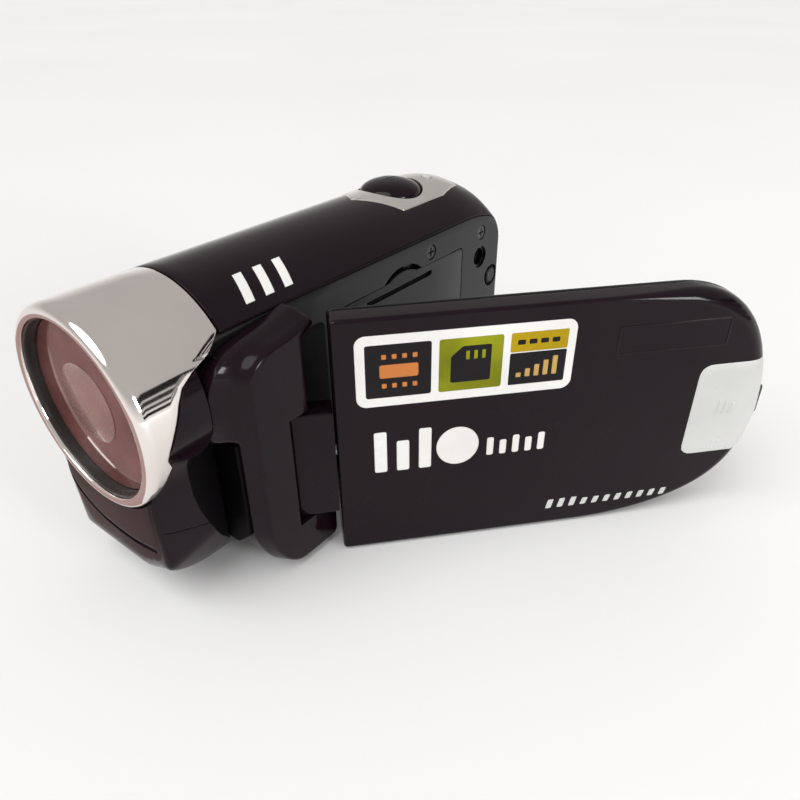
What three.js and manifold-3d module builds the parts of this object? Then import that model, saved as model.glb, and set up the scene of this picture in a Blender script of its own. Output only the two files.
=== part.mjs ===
// A flip-screen camcorder as an assembly of separate parts, in millimetres, +Z up.
// The origin is on the flat base under the middle of the body. The lens looks along -Y and the screen
// opens on the +X side. The screen stands REST_OPEN degrees open from its closed place.
import * as THREE from "three";
import { mergeVertices } from "three/addons/utils/BufferGeometryUtils.js";
import Module from "manifold-3d";

const wasm = await Module();
wasm.setup();

// Driving dimensions
const GAP = 0.3; // air between neighbouring pieces
const SHELL = 1.8; // wall of the outer casings
const REACH = 80; // far enough past the object for cutting tools

const BARREL_R = 19;
const AXIS_Z = 42;
const TOP_Z = AXIS_Z + BARREL_R;
const LIP_Y = -58;
const LIP_BACK_Y = -55.9;
const LIP_INNER_R = 16.6;
const SHROUD_BACK_Y = -38.4;
const SHROUD_RIGHT_Z = 34;
const NOSE_TOP_Z = 36; // the fairing is above this and the chin below

const CHIN_FRONT_Y = -56.8;
const SPLIT_Y = -42.55; // where the nose meets the body
const SHELL_BACK_Y = 51;
const REAR_Y = 62;
const REAR_CORNER_R = 11;
const TAIL_R = 27.5; // the top falls away to the rear in one big round
const TAIL_CORNER = { normal: [-0.545, -0.645, -0.537], from: -67.25 }; // soft corner of the wall
const WALL_X = 15.1; // flat wall behind the screen
const WALL_FOOT_Z = 12;
const BASE_LEFT_X = 4;
const BASE_RIGHT_X = -8;
const CREASE_Z = AXIS_Z + Math.sqrt(BARREL_R ** 2 - WALL_X ** 2);
const BASE_SEAM_Z = 10;

const WINDOW_R = 16.2;
const WINDOW_FRONT_Y = -55.7;
const PUPIL_R = 7.5;
const LENS_TUBE_R = 12;
const LENS_BORE_R = 10;
const LENS_TUBE_BACK_Y = -22.5;

const HINGE_X = 19.6;
const HINGE_Y = -28.9;
const PIN_R = 0.9;
const REST_OPEN = 42;
const HOUSING_X = 22.4;

const PANEL_OUT = 1.95; // hinge axis to the screen's outer face
const PANEL_T = 6.1;
const PANEL_NEAR = 7.9;
const PANEL_FAR = 97.6;
const PANEL_LOW = 0.3;
const PANEL_HIGH = 53.3;
const COVER_T = 1.3;
const SWIVEL_Z = 24.5;
const SWIVEL_IN = 1.1; // hinge axis to the swivel axis, towards the screen's inner face
const SHAFT_R = 1.3;
const BLOCK_LOW = 10.9;
const BLOCK_HIGH = 34.8;
const BLOCK_FAR = 7.6;
const BLOCK_IN = 3.2;

const DOOR = { y0: -9.5, y1: 34.1, z0: 12.6, z1: 47, t: 1.5 };
const NOTCH = { y: 11, width: 13.7, height: 2.7, deep: 0.9 };
const JACK = { y: 42.2, z: 42.2 };
const SIDE_BUTTON = { y: 47.9, z: 35.6, r: 1.9 };
const WALL_SCREWS = { wall_screw_front: [21.3, 49.6], wall_screw_rear: [42.4, 48.4] };
const BASE_SCREWS = [[-6, -28], [1.6, -28], [-6, 47], [1.6, 47]];
const BUSH = { y: 14, r: 4.2, bore: 3, high: 7 };

const LEVER = { y: 25.6, r: 7.2, top: 63, low: 58 };
const LED = { x: 2, y: 37, r: 1.1 };
const CAP_END_Y = 42.6;
const RECORD = { x: -2, z: 35, r: 5.4 };
const REAR_BUTTONS = {
  power_button: [-6.2, 25.6], mode_button: [2.2, 25.6],
  menu_button: [-6.2, 19.2], playback_button: [2.2, 19.2],
};
const SMALL_BUTTON_R = 2.1;
const USB = { x: -2, z: 11.8, width: 9, high: 4.4 };
const SPEAKER = { y: 42, z: 30, r: 6.5 };
const MIC = { x: -5, z: 15 };

const FINISH = {
  chrome: { color: 0xc9c2bd, roughness: 0.12, metalness: 1 },
  gloss: { color: 0x0d0a0c, roughness: 0.12, metalness: 0 },
  satin: { color: 0x2c2b2d, roughness: 0.5, metalness: 0 },
  silver: { color: 0xcfcdca, roughness: 0.3, metalness: 0.6 },
  glass: { color: 0x3a2528, roughness: 0.05, metalness: 0 },
  inner: { color: 0x17171a, roughness: 0.7, metalness: 0 },
  steel: { color: 0x9a9a9c, roughness: 0.35, metalness: 1 },
  brass: { color: 0xb08d4a, roughness: 0.35, metalness: 1 },
  board: { color: 0x1f5a35, roughness: 0.6, metalness: 0 },
  rubber: { color: 0x151515, roughness: 0.9, metalness: 0 },
  white: { color: 0xe8e6e0, roughness: 0.4, metalness: 0 },
  cell: { color: 0x39506e, roughness: 0.5, metalness: 0 },
};

// Solids

function solid(geometry) {
  geometry.deleteAttribute("normal");
  geometry.deleteAttribute("uv");
  const merged = mergeVertices(geometry, 1e-4);
  return new wasm.Manifold(new wasm.Mesh({
    numProp: 3,
    vertProperties: merged.attributes.position.array,
    triVerts: new Uint32Array(merged.index.array),
  }));
}

function box(x0, x1, y0, y1, z0, z1) {
  const g = new THREE.BoxGeometry(x1 - x0, y1 - y0, z1 - z0);
  return solid(g.translate((x0 + x1) / 2, (y0 + y1) / 2, (z0 + z1) / 2));
}

const AXES = {
  x: [[0, 1, 0], [0, 0, 1], [1, 0, 0]], // outline in (y, z), pushed along +X
  y: [[0, 0, 1], [1, 0, 0], [0, 1, 0]], // outline in (z, x), pushed along +Y
  z: [[1, 0, 0], [0, 1, 0], [0, 0, 1]], // outline in (x, y), pushed along +Z
};

// A flat outline pushed along an axis from one place to another.
function prism(axis, outline, from, to, segments = 12) {
  const g = new THREE.ExtrudeGeometry(outline, {
    depth: to - from, bevelEnabled: false, curveSegments: segments,
  });
  g.translate(0, 0, from);
  const [a, b, c] = AXES[axis].map((v) => new THREE.Vector3(...v));
  return solid(g.applyMatrix4(new THREE.Matrix4().makeBasis(a, b, c)));
}

function polygon(points) {
  return new THREE.Shape(points.map(([a, b]) => new THREE.Vector2(a, b)));
}

function roundedRect(a0, a1, b0, b1, r) {
  const s = new THREE.Shape();
  s.moveTo(a0 + r, b0);
  s.lineTo(a1 - r, b0);
  s.absarc(a1 - r, b0 + r, r, -Math.PI / 2, 0);
  s.lineTo(a1, b1 - r);
  s.absarc(a1 - r, b1 - r, r, 0, Math.PI / 2);
  s.lineTo(a0 + r, b1);
  s.absarc(a0 + r, b1 - r, r, Math.PI / 2, Math.PI);
  s.lineTo(a0, b0 + r);
  s.absarc(a0 + r, b0 + r, r, Math.PI, 1.5 * Math.PI);
  return s;
}

// A rod along an axis. `at` holds the two other coordinates, in x, y, z order.
function rod(axis, at, r, from, to, segments = 24) {
  return turned(axis, at, [[0, from], [r, from], [r, to], [0, to]], segments);
}

// A profile of [radius, place along the axis], turned about an axis through `at`.
function turned(axis, at, profile, segments = 24) {
  const points = profile.map(([r, along]) => new THREE.Vector2(r, along));
  const g = new THREE.LatheGeometry(points, segments);
  if (axis === "x") g.rotateZ(-Math.PI / 2).translate(0, at[0], at[1]);
  if (axis === "y") g.translate(at[0], 0, at[1]);
  if (axis === "z") g.rotateX(Math.PI / 2).translate(at[0], at[1], 0);
  return solid(g);
}

function ring(axis, at, outer, inner, from, to, segments = 24) {
  const profile = [[inner, from], [outer, from], [outer, to], [inner, to], [inner, from]];
  return turned(axis, at, profile, segments);
}

function union(...solids) {
  return solids.reduce((all, one) => all.add(one));
}

function part(name, body, finish) {
  const m = body.getMesh();
  const g = new THREE.BufferGeometry();
  g.setAttribute("position", new THREE.BufferAttribute(m.vertProperties, 3));
  g.setIndex(new THREE.BufferAttribute(m.triVerts, 1));
  const mesh = new THREE.Mesh(g, new THREE.MeshStandardMaterial(FINISH[finish]));
  mesh.name = name;
  return mesh;
}

// Outer form of the body. `t` is how far inside the outer skin the surface lies.

function bodySection(t) {
  const r = BARREL_R - t;
  const wall = WALL_X - t;
  const s = new THREE.Shape(); // in (z, x)
  s.moveTo(t, BASE_RIGHT_X);
  s.lineTo(t, BASE_LEFT_X - t);
  s.bezierCurveTo(1 + t, BASE_LEFT_X + 3.5 - t, 5.5, wall, WALL_FOOT_Z, wall);
  const start = Math.asin(wall / r);
  s.lineTo(AXIS_Z + r * Math.cos(start), wall);
  s.absarc(AXIS_Z, 0, r, start, -Math.PI / 2, true);
  s.lineTo(20, -r);
  s.bezierCurveTo(7, -r, t, BASE_RIGHT_X - 7, t, BASE_RIGHT_X);
  return s;
}

function noseSection(t) {
  const r = BARREL_R - t;
  const meet = (110 / 180) * Math.PI;
  const s = new THREE.Shape(); // in (z, x)
  s.moveTo(t, BASE_RIGHT_X);
  s.lineTo(t, BASE_LEFT_X - t);
  s.bezierCurveTo(1 + t, BASE_LEFT_X + 3 - t, 8, 13 - t, 18, 15.8 - t);
  s.lineTo(AXIS_Z + r * Math.cos(meet), r * Math.sin(meet));
  s.absarc(AXIS_Z, 0, r, meet, -Math.PI / 2, true);
  s.lineTo(20, -r);
  s.bezierCurveTo(7, -r, t, BASE_RIGHT_X - 7, t, BASE_RIGHT_X);
  return s;
}

function sideProfile(t) {
  const s = new THREE.Shape(); // in (y, z)
  s.moveTo(-33, t);
  s.lineTo(REAR_Y - 6, t);
  s.quadraticCurveTo(REAR_Y - t, t, REAR_Y - t, 6);
  s.lineTo(REAR_Y - t, TOP_Z - TAIL_R);
  s.absarc(REAR_Y - TAIL_R, TOP_Z - TAIL_R, TAIL_R - t, 0, Math.PI / 2);
  s.lineTo(CHIN_FRONT_Y + t, TOP_Z - t);
  s.lineTo(CHIN_FRONT_Y + t, 24);
  s.lineTo(CHIN_FRONT_Y + 0.4 + t, 13);
  s.quadraticCurveTo(CHIN_FRONT_Y + 0.5 + t, 11.3 + t, CHIN_FRONT_Y + 1.7 + t, 10.4 + t);
  s.quadraticCurveTo(-46, 1.5 + t, -33, t);
  return s;
}

function planForm(t) {
  const c = REAR_CORNER_R;
  const s = new THREE.Shape(); // in (x, y)
  s.moveTo(-BARREL_R - 5, -REACH);
  s.lineTo(BARREL_R + 5, -REACH);
  s.lineTo(BARREL_R + 5, 10);
  s.lineTo(WALL_X - t, 10);
  s.lineTo(WALL_X - t, REAR_Y - c);
  s.quadraticCurveTo(WALL_X - t, REAR_Y - t, WALL_X - c, REAR_Y - t);
  s.lineTo(-BARREL_R + c, REAR_Y - t);
  s.quadraticCurveTo(-BARREL_R + t, REAR_Y - t, -BARREL_R + t, REAR_Y - c);
  s.lineTo(-BARREL_R + t, 10);
  s.lineTo(-BARREL_R - 5, 10);
  return s;
}

function bodySolid(t, front) {
  return prism("y", bodySection(t), front, REAR_Y, 12)
    .intersect(prism("x", sideProfile(t), -REACH, REACH, 5))
    .intersect(prism("z", planForm(t), -REACH, REACH, 5))
    .trimByPlane(TAIL_CORNER.normal, TAIL_CORNER.from + t);
}

// The chin's sides close in towards the front, below the lens.
function noseFlanks(t) {
  const left = polygon([[13.1 - t, -60], [15.9 - t, SPLIT_Y + 1], [40, SPLIT_Y + 1], [40, -60]]);
  const right = polygon([[-15.5 + t, -60], [-40, -60], [-40, SPLIT_Y + 1], [-19.1 + t, SPLIT_Y + 1]]);
  return union(prism("z", left, -5, NOSE_TOP_Z), prism("z", right, -5, NOSE_TOP_Z));
}

function noseSolid(t, back) {
  return prism("y", noseSection(t), CHIN_FRONT_Y - 1, back, 12)
    .intersect(prism("x", sideProfile(t), -REACH, REACH, 5))
    .subtract(noseFlanks(t));
}

const bodyShell = bodySolid(0, SPLIT_Y).subtract(bodySolid(SHELL, SPLIT_Y - 1));
const noseShell = noseSolid(0, SPLIT_Y).subtract(noseSolid(SHELL, SPLIT_Y + 1))
  .subtract(rod("y", [0, AXIS_Z], WINDOW_R + 0.7, LIP_Y, SPLIT_Y + 1, 40))
  .subtract(rod("y", [0, AXIS_Z], BARREL_R + GAP, LIP_Y, LIP_BACK_Y + GAP, 56));

// The edge where the chrome shroud ends on the screen's side, in (y, z), moved back by `away`.
function shroudEdge(away) {
  const edge = [[-38.35, 54], [-42, 51.6], [-49, 48.9], [-51.3, 44.8], [-54.3, 38.4], [-53.4, NOSE_TOP_Z + GAP / 2],
    [-55.85, 29.5]];
  return edge.map(([y, z]) => [y + away, z]);
}

// The seam between the base pan and the casings above it, in (y, z).
function seamLine(away) {
  const line = [[-60, 21.4], [-41, 17], [-36, BASE_SEAM_Z], [SHELL_BACK_Y, BASE_SEAM_Z]];
  return line.map(([y, z]) => [y, z + away]);
}

function aboveSeam(y0, y1, top) {
  const region = [...seamLine(GAP / 2), [SHELL_BACK_Y, REACH], [-60, REACH]];
  return prism("x", polygon(region), -REACH, REACH).intersect(box(-REACH, REACH, y0, y1, -5, top));
}

// Front

function frontShroud() {
  const tube = ring("y", [0, AXIS_Z], BARREL_R, WINDOW_R + 1, LIP_BACK_Y - 1, SHROUD_BACK_Y, 56);
  const left = polygon([...shroudEdge(0), [LIP_BACK_Y, 15], [-30, 15], [-30, 54]]);
  const right = box(-REACH, 0, LIP_BACK_Y, -30, 0, SHROUD_RIGHT_Z);
  const lip = turned("y", [0, AXIS_Z], [
    [LIP_INNER_R, LIP_Y + 0.4], [LIP_INNER_R + 0.7, LIP_Y], [BARREL_R - 0.9, LIP_Y],
    [BARREL_R, LIP_Y + 0.8], [BARREL_R, LIP_BACK_Y], [LIP_INNER_R, LIP_BACK_Y],
    [LIP_INNER_R, LIP_Y + 0.4],
  ], 56);
  return tube.subtract(prism("x", left, 0, REACH)).subtract(right).add(lip);
}

function frontFairing() {
  const back = SPLIT_Y - GAP;
  const side = polygon([[back, 50.9], ...shroudEdge(GAP).slice(2, 6), [back, NOSE_TOP_Z + GAP / 2]]);
  return noseShell.intersect(prism("x", side, 5, REACH));
}

function chinCover() {
  const front = CHIN_FRONT_Y - 1;
  const back = SPLIT_Y - GAP;
  const top = NOSE_TOP_Z - GAP / 2;
  const left = polygon([[front, 29.2], ...shroudEdge(GAP).slice(6), [-53.2, top], [back, top],
    [back, 0], [front, 0]]);
  const sides = union(
    prism("x", left, 0, REACH),
    box(-REACH, 0, front, back, 0, SHROUD_RIGHT_Z - GAP),
  );
  return noseShell.intersect(aboveSeam(front, back, REACH)).intersect(sides);
}

function lensWindow() {
  return rod("y", [0, AXIS_Z], WINDOW_R, WINDOW_FRONT_Y, WINDOW_FRONT_Y + 1.2, 40);
}

function lensMask() {
  return ring("y", [0, AXIS_Z], WINDOW_R, PUPIL_R, WINDOW_FRONT_Y + 1.5, WINDOW_FRONT_Y + 1.9, 40);
}

function lensBarrel() {
  const flange = WINDOW_FRONT_Y + 2.2;
  return turned("y", [0, AXIS_Z], [
    [PUPIL_R + 1.3, flange], [WINDOW_R, flange], [WINDOW_R, flange + 1.4], [LENS_TUBE_R, flange + 1.4],
    [LENS_TUBE_R, LENS_TUBE_BACK_Y], [LENS_BORE_R, LENS_TUBE_BACK_Y], [LENS_BORE_R, flange + 1.4],
    [PUPIL_R + 1.3, flange],
  ], 32);
}

// A lens with both faces bulging.
function lens(r, y, edge, bulge) {
  const steps = 3;
  const profile = [];
  for (let i = 0; i <= steps; i++) {
    const across = (i / steps) * r;
    profile.push([across, y - edge / 2 - bulge * (1 - (across / r) ** 2)]);
  }
  for (let i = steps; i >= 0; i--) {
    const across = (i / steps) * r;
    profile.push([across, y + edge / 2 + bulge * (1 - (across / r) ** 2)]);
  }
  return turned("y", [0, AXIS_Z], profile, 20);
}

// Casings

function barrelCover() {
  const section = polygon([[AXIS_Z + GAP / 2, -REACH], [AXIS_Z + GAP / 2, 0], [CREASE_Z + GAP / 2, 0],
    [CREASE_Z + GAP / 2, REACH], [REACH, REACH], [REACH, -REACH]]);
  const opening = prism("z", capPlan(GAP), AXIS_Z + 5, REACH);
  return bodyShell.intersect(prism("y", section, SHROUD_BACK_Y + GAP, SHELL_BACK_Y)).subtract(opening);
}

// The bright cap on the top: a pointed front, straight sides, narrower at the back.
function capPlan(away) {
  const half = 9.3 + away;
  const end = 7 + away;
  const back = CAP_END_Y + away;
  return polygon([[0, 11.9 - 1.5 * away], [half, 18.8 - away], [half, 34], [end, back], [-end, back],
    [-half, 34], [-half, 18.8 - away]]);
}

function topCap() {
  return bodySolid(-0.3, 5).subtract(bodySolid(SHELL, 4))
    .intersect(prism("z", capPlan(0), AXIS_Z + 5, REACH))
    .subtract(rod("z", [0, LEVER.y], LEVER.r + 0.4, 50, REACH, 32))
    .subtract(rod("z", [LED.x, LED.y], LED.r + GAP, 50, REACH, 16));
}

// The place that the shroud takes up behind the nose, above `low`.
function underShroud(low) {
  return box(-REACH, REACH, SPLIT_Y - 1, SHROUD_BACK_Y + GAP, low, REACH);
}

function leftWall() {
  const { y0, y1, z0, z1 } = DOOR;
  let wall = bodyShell.intersect(aboveSeam(SPLIT_Y, SHELL_BACK_Y, CREASE_Z - GAP / 2))
    .intersect(box(5, REACH, -REACH, REACH, 0, REACH))
    .subtract(underShroud(50.9))
    .subtract(prism("x", roundedRect(y0 - GAP, y1 + GAP, z0 - GAP, z1 + GAP, 1.5), 5, REACH))
    .subtract(notchCut())
    .subtract(rod("x", [JACK.y, JACK.z], 2.1, 5, REACH, 20))
    .subtract(rod("x", [SIDE_BUTTON.y, SIDE_BUTTON.z], SIDE_BUTTON.r + GAP, 5, REACH, 20));
  for (const [y, z] of Object.values(WALL_SCREWS)) wall = wall.subtract(screwHole("x", [y, z], WALL_X, -1));
  return wall;
}

// A half-moon finger notch in the wall above the door.
function notchCut() {
  const half = NOTCH.width / 2;
  const r = (half ** 2 + NOTCH.height ** 2) / (2 * NOTCH.height);
  return rod("x", [NOTCH.y, DOOR.z1 + NOTCH.height - r], r, WALL_X - NOTCH.deep, REACH, 40)
    .intersect(box(0, REACH, -REACH, REACH, DOOR.z1 - 1, REACH));
}

function rightShell() {
  let shell = bodyShell.intersect(aboveSeam(SPLIT_Y, SHELL_BACK_Y, AXIS_Z - GAP / 2))
    .intersect(box(-REACH, -5, -REACH, REACH, 0, REACH))
    .subtract(underShroud(SHROUD_RIGHT_Z - GAP));
  for (let i = 0; i < 7; i++) {
    const spread = i === 0 ? 0 : 3.6;
    const angle = (i * Math.PI) / 3;
    const at = [SPEAKER.y + spread * Math.cos(angle), SPEAKER.z + spread * Math.sin(angle)];
    shell = shell.subtract(rod("x", at, 0.8, -REACH, 0, 10));
  }
  return shell;
}

function basePan() {
  const below = polygon([...seamLine(-GAP / 2), [SHELL_BACK_Y, -5], [-60, -5]]);
  const outer = union(bodySolid(0, SPLIT_Y), noseSolid(0, SPLIT_Y));
  let pan = outer.subtract(bodySolid(SHELL, SPLIT_Y - 0.5)).subtract(noseSolid(SHELL, SPLIT_Y + 0.5))
    .intersect(prism("x", below, -REACH, REACH))
    .subtract(rod("z", [0, BUSH.y], BUSH.r + GAP, -5, 20, 24))
    .subtract(rod("y", [MIC.x, MIC.z], 0.7, LIP_Y, -50, 12));
  for (const at of BASE_SCREWS) pan = pan.subtract(screwHole("z", at, 0, 1));
  return pan;
}

function rearCover() {
  let cover = bodyShell.intersect(box(-REACH, REACH, SHELL_BACK_Y + GAP, REACH, -5, REACH))
    .subtract(rod("y", [RECORD.x, RECORD.z], RECORD.r + GAP, 50, REACH, 32))
    .subtract(box(USB.x - 4.2, USB.x + 4.2, 50, REACH, USB.z - 1.9, USB.z + 1.9));
  for (const at of Object.values(REAR_BUTTONS)) {
    cover = cover.subtract(rod("y", at, SMALL_BUTTON_R + GAP, 50, REACH, 20));
  }
  return cover;
}

function gripPanel() {
  const outline = roundedRect(-24, 33, 21, 40.5, 6);
  return prism("x", outline, -BARREL_R - 1.4, -BARREL_R - GAP, 5);
}

// Fasteners

const SCREW = { head: 1.6, high: 0.8, shank: 0.8, long: 6, sunk: 0.15 };

// A countersunk seat in a face at `face`, with the screw going `way` along the axis.
function screwHole(axis, at, face, way) {
  const places = [face - way * 5, face + way * (SCREW.sunk + SCREW.high + GAP), face + way * 12];
  const seat = rod(axis, at, SCREW.head + GAP, Math.min(places[0], places[1]), Math.max(places[0], places[1]), 16);
  return seat.add(rod(axis, at, SCREW.shank + GAP, Math.min(places[0], places[2]), Math.max(places[0], places[2]), 12));
}

function screw(axis, at, face, way) {
  const head = face + way * SCREW.sunk;
  const under = head + way * SCREW.high;
  const tip = under + way * SCREW.long;
  const slot = head + way * 0.4;
  const [low, high] = [Math.min(head, slot), Math.max(head, slot)];
  const cross = (long, wide) => (axis === "x"
    ? box(low - 0.01, high + 0.01, at[0] - long, at[0] + long, at[1] - wide, at[1] + wide)
    : box(at[0] - long, at[0] + long, at[1] - wide, at[1] + wide, low - 0.01, high + 0.01));
  return rod(axis, at, SCREW.head, Math.min(head, under), Math.max(head, under), 16)
    .add(rod(axis, at, SCREW.shank, Math.min(head, tip), Math.max(head, tip), 10))
    .subtract(cross(1.1, 0.2)).subtract(cross(0.2, 1.1));
}

function tripodBush() {
  return ring("z", [0, BUSH.y], BUSH.r, BUSH.bore, GAP, BUSH.high, 24);
}

// Hinge

function hingeHousing() {
  const side = new THREE.Shape(); // in (y, z)
  side.moveTo(-31, 0.9);
  side.lineTo(-23.4, 0.9);
  side.quadraticCurveTo(-22, 0.9, -22, 2.6);
  side.lineTo(-22, BLOCK_LOW - 0.6);
  side.lineTo(-31.9, BLOCK_LOW - 0.6);
  side.lineTo(-31.9, BLOCK_HIGH + 0.5);
  side.lineTo(-27.2, BLOCK_HIGH + 0.5);
  side.lineTo(-27.2, 50.5);
  side.quadraticCurveTo(-26.8, 53, -24.3, 54.2);
  side.lineTo(-37, 55.2);
  side.quadraticCurveTo(SPLIT_Y, 54, SPLIT_Y, 46);
  side.lineTo(SPLIT_Y, 13);
  side.quadraticCurveTo(-39.5, 1.5, -31, 0.9);
  const plan = new THREE.Shape(); // in (x, y)
  const inner = WALL_X + GAP;
  plan.moveTo(inner, SPLIT_Y);
  plan.lineTo(17, SPLIT_Y + 0.3);
  plan.bezierCurveTo(20.6, SPLIT_Y + 1, HOUSING_X, -40.5, HOUSING_X, -37.2);
  plan.lineTo(HOUSING_X, -20);
  plan.lineTo(inner, -20);
  const face = new THREE.Shape(); // in (z, x)
  face.moveTo(0.5, inner);
  face.lineTo(0.5, HOUSING_X - 1.5);
  face.quadraticCurveTo(0.6, HOUSING_X, 2.4, HOUSING_X);
  face.lineTo(46, HOUSING_X);
  face.quadraticCurveTo(53, HOUSING_X, 55.4, inner);
  const pocket = box(inner - 1, 20.4, -39.7, -33.4, 10, 48);
  return prism("x", side, inner, HOUSING_X + 1, 8)
    .intersect(prism("z", plan, -5, 70, 10))
    .intersect(prism("y", face, -60, 0, 10))
    .subtract(pocket)
    .subtract(rod("y", [0, AXIS_Z], BARREL_R + GAP, -60, SHROUD_BACK_Y + GAP, 56))
    .subtract(rod("z", [HINGE_X, HINGE_Y], PIN_R + 0.15, 5, 44, 16));
}

function hingeBracket() {
  const inner = WALL_X + 2 * GAP;
  return union(
    box(inner, 20, -39.2, -38, 11, 47),
    box(inner, inner + 1.2, -39.2, -34, 11, 47),
  );
}

function hingePin() {
  return rod("z", [HINGE_X, HINGE_Y], PIN_R, 5.5, 43.5, 16);
}

// Inside the body

function batteryTray() {
  const { y0, y1, z0, z1 } = DOOR;
  return box(3.6, 12.9, y0 - 1.2, y1 + 1.2, z0 - 1.2, z1 + 0.9)
    .subtract(box(4.6, 20, y0 - 0.1, y1 + 0.1, z0 - 0.1, z1 - 0.2));
}

function battery() {
  return prism("x", roundedRect(-7.4, 32.6, 13.2, 41.2, 2), 5.2, 11.2, 4);
}

function batteryContact(z) {
  return union(box(6.4, 9.4, -9.2, -8.8, z - 1.2, z + 1.2), box(7.4, 8.4, -8.9, -7.9, z - 0.8, z + 0.8));
}

function cardSocket() {
  return box(5, 12.4, -1.2, 26.2, 42.2, 46.8).subtract(box(6, 20, 0, 25, 43.3, 45.7));
}

function batteryDoor() {
  const { y0, y1, z0, z1, t } = DOOR;
  const slot = roundedRect(-1.5, 21.5, 44.4, 45.9, 0.7);
  return prism("x", roundedRect(y0, y1, z0, z1, 1.2), WALL_X - t, WALL_X, 4)
    .subtract(prism("x", slot, WALL_X - 0.8, REACH, 4));
}

function avJack() {
  return ring("x", [JACK.y, JACK.z], 2.9, 1.75, 4.5, WALL_X - SHELL - GAP, 20);
}

function usbSocket() {
  const { x, z, width, high } = USB;
  return box(x - width / 2, x + width / 2, 52.5, 59.9, z - high / 2, z + high / 2)
    .subtract(box(x - width / 2 + 0.7, x + width / 2 - 0.7, 53.5, REACH, z - high / 2 + 0.7, z + high / 2 - 0.7));
}

function mainBoard() {
  return box(-8, -6.8, -14, 46, 12, 53);
}

function processorCan() {
  return box(-10.4, -8.3, 2, 24, 24, 44);
}

// Controls

function zoomLever() {
  const { y, r, low, top } = LEVER;
  return turned("z", [0, y], [
    [0, low - 2.4], [1.5, low - 2.4], [1.5, low], [r, low], [r, low + 2.2],
    [r - 0.5, low + 3.1], [r - 1.9, low + 4], [r - 4, top - 0.45], [0, top],
  ], 24);
}

function statusLed() {
  return rod("z", [LED.x, LED.y], LED.r, 57, TOP_Z + 0.4, 16);
}

function roundButton([x, z], r, proud) {
  return turned("y", [x, z], [
    [0, REAR_Y - 3.4], [r, REAR_Y - 3.4], [r, REAR_Y + proud - 0.4], [r - 0.4, REAR_Y + proud],
    [0, REAR_Y + proud],
  ], 16);
}

function sideButton() {
  return rod("x", [SIDE_BUTTON.y, SIDE_BUTTON.z], SIDE_BUTTON.r, WALL_X - 2.4, WALL_X + 0.1, 20);
}

// Screen. Its own frame has X along the panel away from the hinge, Y towards the inner face, Z up.

function swivelBlock() {
  const plan = new THREE.Shape(); // in (x, y)
  plan.moveTo(0, -PANEL_OUT);
  plan.lineTo(BLOCK_FAR, -PANEL_OUT);
  plan.lineTo(BLOCK_FAR, BLOCK_IN);
  plan.lineTo(1, BLOCK_IN);
  plan.quadraticCurveTo(-PANEL_OUT, BLOCK_IN, -PANEL_OUT, 0);
  plan.absarc(0, 0, PANEL_OUT, Math.PI, 1.5 * Math.PI);
  return prism("z", plan, BLOCK_LOW, BLOCK_HIGH, 8)
    .subtract(rod("z", [0, 0], PIN_R + 0.15, 0, 60, 16))
    .subtract(rod("x", [SWIVEL_IN, SWIVEL_Z], SHAFT_R + 0.15, 2, 20, 16));
}

function swivelShaft() {
  return turned("x", [SWIVEL_IN, SWIVEL_Z], [
    [0, 2.3], [SHAFT_R, 2.3], [SHAFT_R, 10], [SHAFT_R + 0.3, 10], [SHAFT_R + 0.3, 11], [0, 11],
  ], 16);
}

function panelOutline(t) {
  const s = new THREE.Shape(); // in (x, z)
  const corner = 1;
  s.moveTo(PANEL_NEAR + t + corner, PANEL_LOW + t);
  s.lineTo(60, PANEL_LOW + t);
  s.bezierCurveTo(84, PANEL_LOW + 0.3 + t, PANEL_FAR - 1 - t, 8, PANEL_FAR - t, 24);
  s.bezierCurveTo(PANEL_FAR - t, 41, 90, PANEL_HIGH - t, 75, PANEL_HIGH - t);
  s.lineTo(PANEL_NEAR + t + corner, PANEL_HIGH - t);
  s.absarc(PANEL_NEAR + t + corner, PANEL_HIGH - t - corner, corner, Math.PI / 2, Math.PI);
  s.lineTo(PANEL_NEAR + t, PANEL_LOW + t + corner);
  s.absarc(PANEL_NEAR + t + corner, PANEL_LOW + t + corner, corner, Math.PI, 1.5 * Math.PI);
  return s;
}

// The outline is in (x, z) and is pushed along the panel's Y.
function panelSlab(outline, from, to, segments = 4) {
  const g = new THREE.ExtrudeGeometry(outline, {
    depth: to - from, bevelEnabled: false, curveSegments: segments,
  });
  return solid(g.rotateX(Math.PI / 2).translate(0, to, 0));
}

const TAB = { near: 80.8, low: 15, high: 37.1 };
const LABEL = { x0: 12, x1: 53.4, z0: 35.2, z1: 50 };
const PANEL_BACK = PANEL_T - PANEL_OUT;
const COVER_BACK = 2.7;

function tabOutline(away) {
  const far = PANEL_FAR + 5;
  return roundedRect(TAB.near - away, far, TAB.low - away, TAB.high + away, 2.5);
}

function labelOutline(away) {
  return roundedRect(LABEL.x0 - away, LABEL.x1 + away, LABEL.z0 - away, LABEL.z1 + away, 2);
}

function lcdOuterCover() {
  const bevel = 0.5;
  const rim = panelSlab(panelOutline(0), -PANEL_OUT + bevel, COVER_BACK, 9);
  const face = panelSlab(panelOutline(bevel), -PANEL_OUT, COVER_BACK - 1, 9);
  const pocket = panelSlab(panelOutline(COVER_T), -PANEL_OUT + COVER_T, COVER_BACK + 1, 6);
  const shaftHole = rod("x", [SWIVEL_IN, SWIVEL_Z], SHAFT_R + GAP, 0, 9.5, 16);
  const seat = panelSlab(tabOutline(GAP), -10, -PANEL_OUT + 0.8);
  return union(rim, face)
    .subtract(pocket)
    .subtract(shaftHole)
    .subtract(seat)
    .subtract(panelSlab(labelOutline(GAP), -10, -PANEL_OUT + 0.55));
}

function lcdBezel() {
  const opening = roundedRect(13.6, 77.6, 8.6, 46.2, 1.2);
  return panelSlab(panelOutline(0), COVER_BACK + GAP, PANEL_BACK, 9)
    .subtract(panelSlab(opening, 0, 10));
}

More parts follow.
